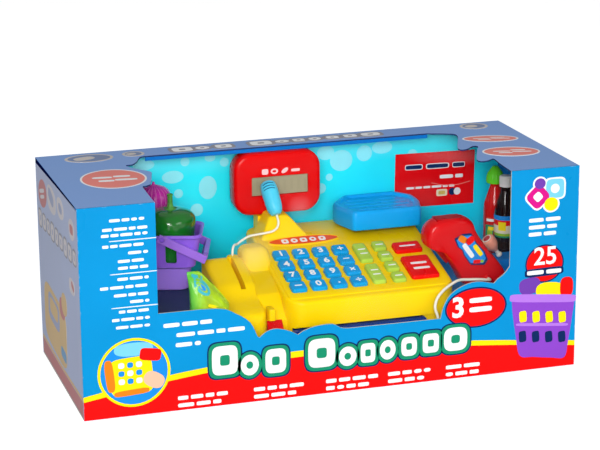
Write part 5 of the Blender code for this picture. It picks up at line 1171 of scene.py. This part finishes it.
# Below the step the basket is painted a lighter purple: painted light on its lower tier.
fade(basket_purple, (172, 132, 240), "place", "Z", 0.1185, 0.1155, 0.85)
handle_purple = finish("handle_purple", (160, 112, 226), 0.3, 0.06, 30.0, under=0.1)
BASKET_LENGTH, BASKET_WIDTH, BASKET_HEIGHT, BASKET_CORNER = 0.096, 0.06, 0.062, 0.01
turn = radians(-18)
along, across = Vector((cos(turn), sin(turn), 0)), Vector((-sin(turn), cos(turn), 0))
basket_corner = Vector((REGISTER_LEFT - 0.007, FRONT_Y + 0.072, 0))
basket_at = basket_corner - along * BASKET_LENGTH / 2 + across * BASKET_WIDTH / 2
shelf = LEFT_PLATFORM + GAP


def in_basket(x, y, z):
    point = basket_at + along * x + across * y
    return point.x, point.y, shelf + z


def basket_ring(inset, z):
    """One level of the basket; its short ends lean in a little more than its sides."""
    lean_in = float(np.interp(z, (0.0, 0.0262, 0.06), (0.0052, 0.0044, 0.0)))
    return [in_basket(x, y, z) for x, y in rounded(0, 0, BASKET_LENGTH - 2 * (inset + lean_in),
                                                   BASKET_WIDTH - 2 * inset, BASKET_CORNER, 7)]


walls = skin([basket_ring(*section) for section in (
    (0.0122, 0.002), (0.0102, 0.0255), (0.0057, 0.0278), (0.0037, 0.06), (0.0022, 0.0615), (0.0012, 0.062),
    (0.0003, 0.0616), (0.0, 0.0606), (0.0, 0.0586), (0.0006, 0.0578), (0.0016, 0.0574), (0.0033, 0.027),
    (0.0045, 0.0256), (0.0078, 0.0246), (0.0086, 0.0238), (0.01, 0.0012), (0.0112, 0.0))])
# Slots: low, high, pitch and half width on the sides, pitch and half width at the ends
UPPER = (0.0315, 0.053, 0.0158, 0.0058, 0.013, 0.0045)
LOWER = (0.006, 0.0205, 0.013, 0.0045, 0.011, 0.0036)
cutters = []
for row in (UPPER, LOWER):
    low_z, high_z, pitch, half_slot, end_pitch, end_half = row
    for k in (-2, -1, 1, 2) if row is UPPER else (-2, -1, 0, 1, 2):
        shape = rounded(k * pitch, (low_z + high_z) / 2, 2 * half_slot, high_z - low_z, 0.002, 4)
        spans = ((-0.05, -0.01), (0.01, 0.05)) if row is UPPER and abs(k) == 1 else ((0.01, 0.05),)
        cutters += [skin([[in_basket(x, y, z) for x, z in shape] for y in span]) for span in spans]
    for k in (-1, 0, 1):
        shape = rounded(k * end_pitch, (low_z + high_z) / 2, 2 * end_half, high_z - low_z, 0.002, 4)
        cutters += [skin([[in_basket(x, y, z) for y, z in shape] for x in span])
                    for span in ((-0.06, -0.03), (0.03, 0.06))]
walls = carve([walls], cutters, basket_purple)
pins = [turned([(0.0025, 0.0), (0.0025, 0.0056), (0.0021, 0.0062)], 20,
               toward(in_basket(0.007, side * 0.0262, 0.0585), across * side)) for side in (-1, 1)]
build("shop_basket", [(basket_purple, [walls] + pins)], sharp=32, instead="basket")
dress("basket_handle", handle_purple)
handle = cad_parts["basket_handle"]
weld = handle.modifiers.new("weld", "WELD")
weld.merge_threshold = 0.00002
bevel = handle.modifiers.new("bevel", "BEVEL")
bevel.width, bevel.segments, bevel.limit_method, bevel.angle_limit = 0.0007, 3, "ANGLE", radians(40)

# ---------------------------------------------------------------- pepper, onion, pouch
# Blow-moulded toy food: a dark glossy pepper with lobes, a ribbed onion, a printed foil pouch.
pepper_green = finish("pepper_green", (14, 112, 26), 0.16, 0.2, 60.0, 900.0, 0.1, coat=1.0, coat_rough=0.1)
stem_green = finish("stem_green", (70, 140, 50), 0.4, 0.2, 90.0, 900.0, 0.2)


def lobed(curve, middle, low, width, height, lobes, deep, steps, ease=99.0):
    """Turn (radius, height) shares about a place, with lobes that fade out toward its axis."""
    angles = circle(steps)
    rings = []
    for r, z in curve:
        radii = [width * r * (1 + deep * cos(lobes * a) * min(r * ease, 1)) for a in angles]
        rings.append([(middle.x + radius * cos(a), middle.y + radius * sin(a), low + height * max(z, 0.0))
                      for a, radius in zip(angles, radii)])
    return skin(rings)


PEPPER_RADIUS, PEPPER_HEIGHT, ONION_RADIUS = 0.0226, 0.062, 0.0185
pepper_at = basket_at + along * 0.014
low = shelf + 0.026 + GAP - 0.09 * PEPPER_HEIGHT
PEPPER = smooth([(0.05, 0.02), (0.45, 0.0), (0.72, 0.03), (0.88, 0.09), (0.98, 0.3), (1.04, 0.47),
                 (1.08, 0.6), (1.11, 0.68), (1.14, 0.78), (1.1, 0.87), (0.92, 0.955), (0.64, 1.0),
                 (0.36, 1.015), (0.2, 0.99), (0.06, 0.98)], 4)
pepper = lobed(PEPPER, pepper_at, low, PEPPER_RADIUS, PEPPER_HEIGHT, 3, 0.045, 60, 1.6)
stalk = turned([(0.0066, low + 0.061), (0.0058, low + 0.0628), (0.0036, low + 0.064), (0.0028, low + 0.068),
                (0.0027, low + 0.076), (0.0034, low + 0.0782),
                (0.0018, low + 0.0789)], 24, at(pepper_at.x, pepper_at.y))
build("toy_pepper", [(pepper_green, [pepper]), (stem_green, [stalk])], sharp=50, instead="pepper")

onion_skin = finish("onion_skin", (180, 26, 150), 0.2, 0.12, 30.0, 900.0, 0.08, coat=0.3)
bulb = basket_at + across * 0.0335 - along * 0.0058
tree = onion_skin.node_tree
place, _ = axes(tree)
away = [maths(tree, "SUBTRACT", place[axis], middle) for axis, middle in (("Y", bulb.y), ("X", bulb.x))]
streak = maths(tree, "SINE", maths(tree, "MULTIPLY", maths(tree, "ARCTAN2", *away), 22.0))
overlay(onion_skin, (214, 112, 186), ramp(tree, streak, 0.55, 1.0, 0.0, 0.6))
ONION = smooth([(0.16, 0.0), (0.4, 0.05), (0.74, 0.45), (0.97, 1.0), (1.0, 1.32), (0.9, 1.66), (0.62, 1.91),
                (0.25, 2.03), (0.1, 2.1), (0.07, 2.22), (0.05, 2.25)], 5)
onion = lobed(ONION, bulb, shelf + BASKET_HEIGHT + GAP, ONION_RADIUS, ONION_RADIUS, 11, 0.012, 88)
build("toy_onion", [(onion_skin, [onion])], sharp=60, instead="onion")

pouch_lime = finish("pouch_lime", (166, 204, 22), 0.25, 0.3, 70.0, 260.0, 0.6, 0.001, coat=0.3)
fade(pouch_lime, (60, 190, 70), "place", "X", -0.136, -0.15, 0.8)
POUCH_WIDTH, POUCH_DEPTH, POUCH_HEIGHT = 0.043, 0.018, 0.049
px, py = REGISTER_LEFT + 0.0005 - POUCH_WIDTH / 2, FRONT_Y - GAP - POUCH_DEPTH / 2


def pouch_top(x):
    """The pouch sags to the right: how high its top stands at a place across it."""
    return 1.0 - 0.74 * max(0.0, (x + 0.01) / 0.0315) ** 1.2


POUCH = smooth([(0.0, 0.92, 0.62, 0.0), (0.04, 0.97, 0.86, 0.0), (0.25, 0.93, 1.0, 0.0),
                (0.55, 0.94, 0.94, 0.017), (0.8, 0.98, 0.55, 0.11), (0.92, 1.0, 0.16, 0.22),
                (0.96, 1.0, 0.09, 0.25), (1.0, 1.0, 0.08, 0.25)], 4)
rings = []
for share, wide, deep, lean_back in POUCH:
    ring = []
    for a in circle(72):
        c, s = cos(a), sin(a)
        x = POUCH_WIDTH / 2 * wide * np.sign(c) * abs(c) ** 0.55
        crumple = 1 + 0.05 * sin(7 * a + 9 * share) * min(deep, 1) + 0.03 * sin(13 * a - 14 * share)
        y = POUCH_DEPTH / 2 * deep * np.sign(s) * abs(s) ** 0.8 * min(crumple, 1.02)
        ring.append((px + x, py + POUCH_DEPTH * lean_back + y,
                     shelf + POUCH_HEIGHT * min(max(share, 0.0), 1.0) * pouch_top(x)))
    rings.append(ring)
build("food_pouch", [(pouch_lime, [skin(rings)])], sharp=50, instead="pouch")


def on_pouch(a, b, h):
    """The pouch's front, a shallow bow."""
    share = b / POUCH_HEIGHT / pouch_top(a)
    deep = read_off(POUCH, share, 0, 2) * POUCH_DEPTH / 2
    lean_back = read_off(POUCH, share, 0, 3) * POUCH_DEPTH
    bow = deep * (1 - abs(a / (POUCH_WIDTH / 2)) ** 2.6) ** 0.5 * 1.03 + 0.0002
    return px + a, py + lean_back - bow - h, shelf + b


swirl = [band(oval(-0.009, 0.035, 0.0112, 0.0056, 40, -0.8), oval(-0.0085, 0.0345, 0.0076, 0.0028, 40, -0.8))]
build("pouch_label", [("teal", swirl + [flat(bar(-0.0175, -0.006, 0.044, 0.003, -0.3))]),
                      ("azure", [flat(oval(-0.0085, 0.0345, 0.005, 0.0022, 24, -0.7))]),
                      ("yellow", [flat(bar(-0.004, 0.016, 0.013, 0.003, -0.35))])],
      on_pouch)

# ---------------------------------------------------------------- bottles and ham
# Blow-moulded bottles with paper labels and ribbed caps, and a two-colour ham.
sauce_red = finish("sauce_red", (206, 10, 14), 0.15, 0.08, 30.0, coat=0.3)
cap_green = finish("cap_green", (104, 226, 40), 0.32, 0.06, 60.0)
cola_dark = finish("cola_dark", (26, 8, 8), 0.12, 0.1, 30.0, coat=0.3)
cap_white = finish("cap_white", (232, 232, 230), 0.35, 0.03, 60.0)
bx, stand = BODY_RIGHT + 0.0975, RIGHT_PLATFORM + GAP


def bottle(name, size, profile, y, material):
    """A bottle's body; its outline comes back for the labels."""
    curve = smooth([(size[0] * r, stand + size[1] * z) for r, z in profile], 4)
    build(name + "_glass", [(material, [turned([tuple(p) for p in curve], 48, at(bx, y))])],
          sharp=45, instead=name)
    return curve


def wrap(curve, y, low, high, a0, a1, grow=0.0002):
    """A label round a bottle between two heights and two angles from the side that is seen."""
    angles = TOWARD_VIEW + np.linspace(a0, a1, 25)
    rings = []
    for z in np.linspace(low, high, 7):
        r = read_off(curve, z)
        path = [(r + grow, a) for a in angles] + [(r - 0.0002, a) for a in angles[::-1]]
        rings.append([(bx + out * cos(a), y + out * sin(a), z) for out, a in path])
    return skin(rings)


TOWARD_VIEW = radians(-105)
SAUCE_SIZE, COLA_SIZE = (0.0125, 0.083), (0.012, 0.086)
sauce_y, cola_y = FRONT_Y + 0.138, FRONT_Y + 0.108
SAUCE = ((0.76, 0.0), (0.86, 0.004), (0.97, 0.022), (1.0, 0.072), (1.0, 0.3), (1.0, 0.62), (0.88, 0.75),
         (0.52, 0.92), (0.44, 0.96), (0.44, 1.0))
sauce = bottle("sauce_bottle", SAUCE_SIZE, SAUCE, sauce_y, sauce_red)
CAP = [(0.0096, 0.0), (0.01, 0.001), (0.0097, 0.007), (0.0084, 0.011), (0.0056, 0.0152), (0.003, 0.0185)]
cap = turned(CAP, 96, at(bx, sauce_y, stand + SAUCE_SIZE[1] + GAP), 20, 0.05)
build("sauce_cap_ribbed", [(cap_green, [cap])], sharp=40, instead="sauce_cap")
SAUCE_LABEL = (("green", 0.023, 0.037, -1.0, -0.2, 0.0002), ("lime", 0.025, 0.031, -0.8, -0.3, 0.0003),
               ("yellow", 0.031, 0.035, -0.7, 0.3, 0.0004), ("white", 0.041, 0.044, -0.9, 0.9, 0.0002))
build("sauce_label", [(name, [wrap(sauce, sauce_y, stand + a, stand + b, *sides)])
                      for name, a, b, *sides in SAUCE_LABEL])
COLA = ((0.7, 0.0), (0.82, 0.004), (1.0, 0.035), (1.0, 0.12), (1.0, 0.2), (0.9, 0.3), (1.0, 0.42),
        (1.0, 0.52), (1.0, 0.64), (0.8, 0.8), (0.46, 0.94), (0.46, 0.97), (0.46, 1.0))
cola = bottle("cola_bottle", COLA_SIZE, COLA, cola_y, cola_dark)
CAP = [(0.007, 0.0), (0.007, 0.001), (0.007, 0.0105), (0.0066, 0.0115), (0.006, 0.012)]
cap = turned(CAP, 96, at(bx, cola_y, stand + COLA_SIZE[1] + GAP), 24, 0.06)
build("cola_cap_ribbed", [(cap_white, [cap])], sharp=40, instead="cola_cap")
COLA_LABEL = [(name, low, high, -3.1, 3.1, 0.0002) for name, low, high in (
    ("azure", 0.05, 0.055), ("red", 0.044, 0.05), ("cream", 0.035, 0.044), ("lime", 0.032, 0.035),
    ("green", 0.03, 0.032))] + [("yellow", 0.0385, 0.048, -0.75, -0.05, 0.0004)]
build("cola_label", [(name, [wrap(cola, cola_y, stand + a, stand + b, *sides)])
                     for name, a, b, *sides in COLA_LABEL])

ham_pink = finish("ham_pink", (246, 160, 134), 0.35, 0.08, 60.0, under=0.1)
ham_red = finish("ham_red", (196, 40, 44), 0.3, 0.08, 60.0)
ham_white = finish("ham_white", (240, 232, 220), 0.35, 0.04, 60.0)
ham = toward((BODY_RIGHT + 0.064, FRONT_Y + 0.0745, RIGHT_PLATFORM + STEP_RISE + 0.0209), (0.62, 0.1, -0.78))
HAM = smooth([(0.3, -0.385), (0.55, -0.385), (0.8, -0.33), (0.95, -0.192), (1.0, 0.192), (0.95, 0.897),
              (0.55, 1.667), (0.3, 2.05)], 4)
BONE = smooth([(0.3, 2.0), (0.28, 2.3), (0.28, 2.63), (0.42, 2.76), (0.4, 3.08), (0.15, 3.23)], 4)
HAM_RADIUS = 0.0078


def ham_part(profile, steps=40):
    """Part of the ham, its profile in shares of the meat's radius."""
    return turned([(r * HAM_RADIUS, z * HAM_RADIUS) for r, z in profile], steps, ham)


build("toy_ham", [(ham_pink, [ham_part(HAM)]),
                  (ham_white, [ham_part([(max(r, 0.02), z) for r, z in BONE], 32),
                               ham_part([(0.66, -0.4), (0.72, -0.34)])]),
                  (ham_red, [ham_part([(0.5, -0.43), (0.54, -0.38)])])],
      sharp=45, instead="ham")
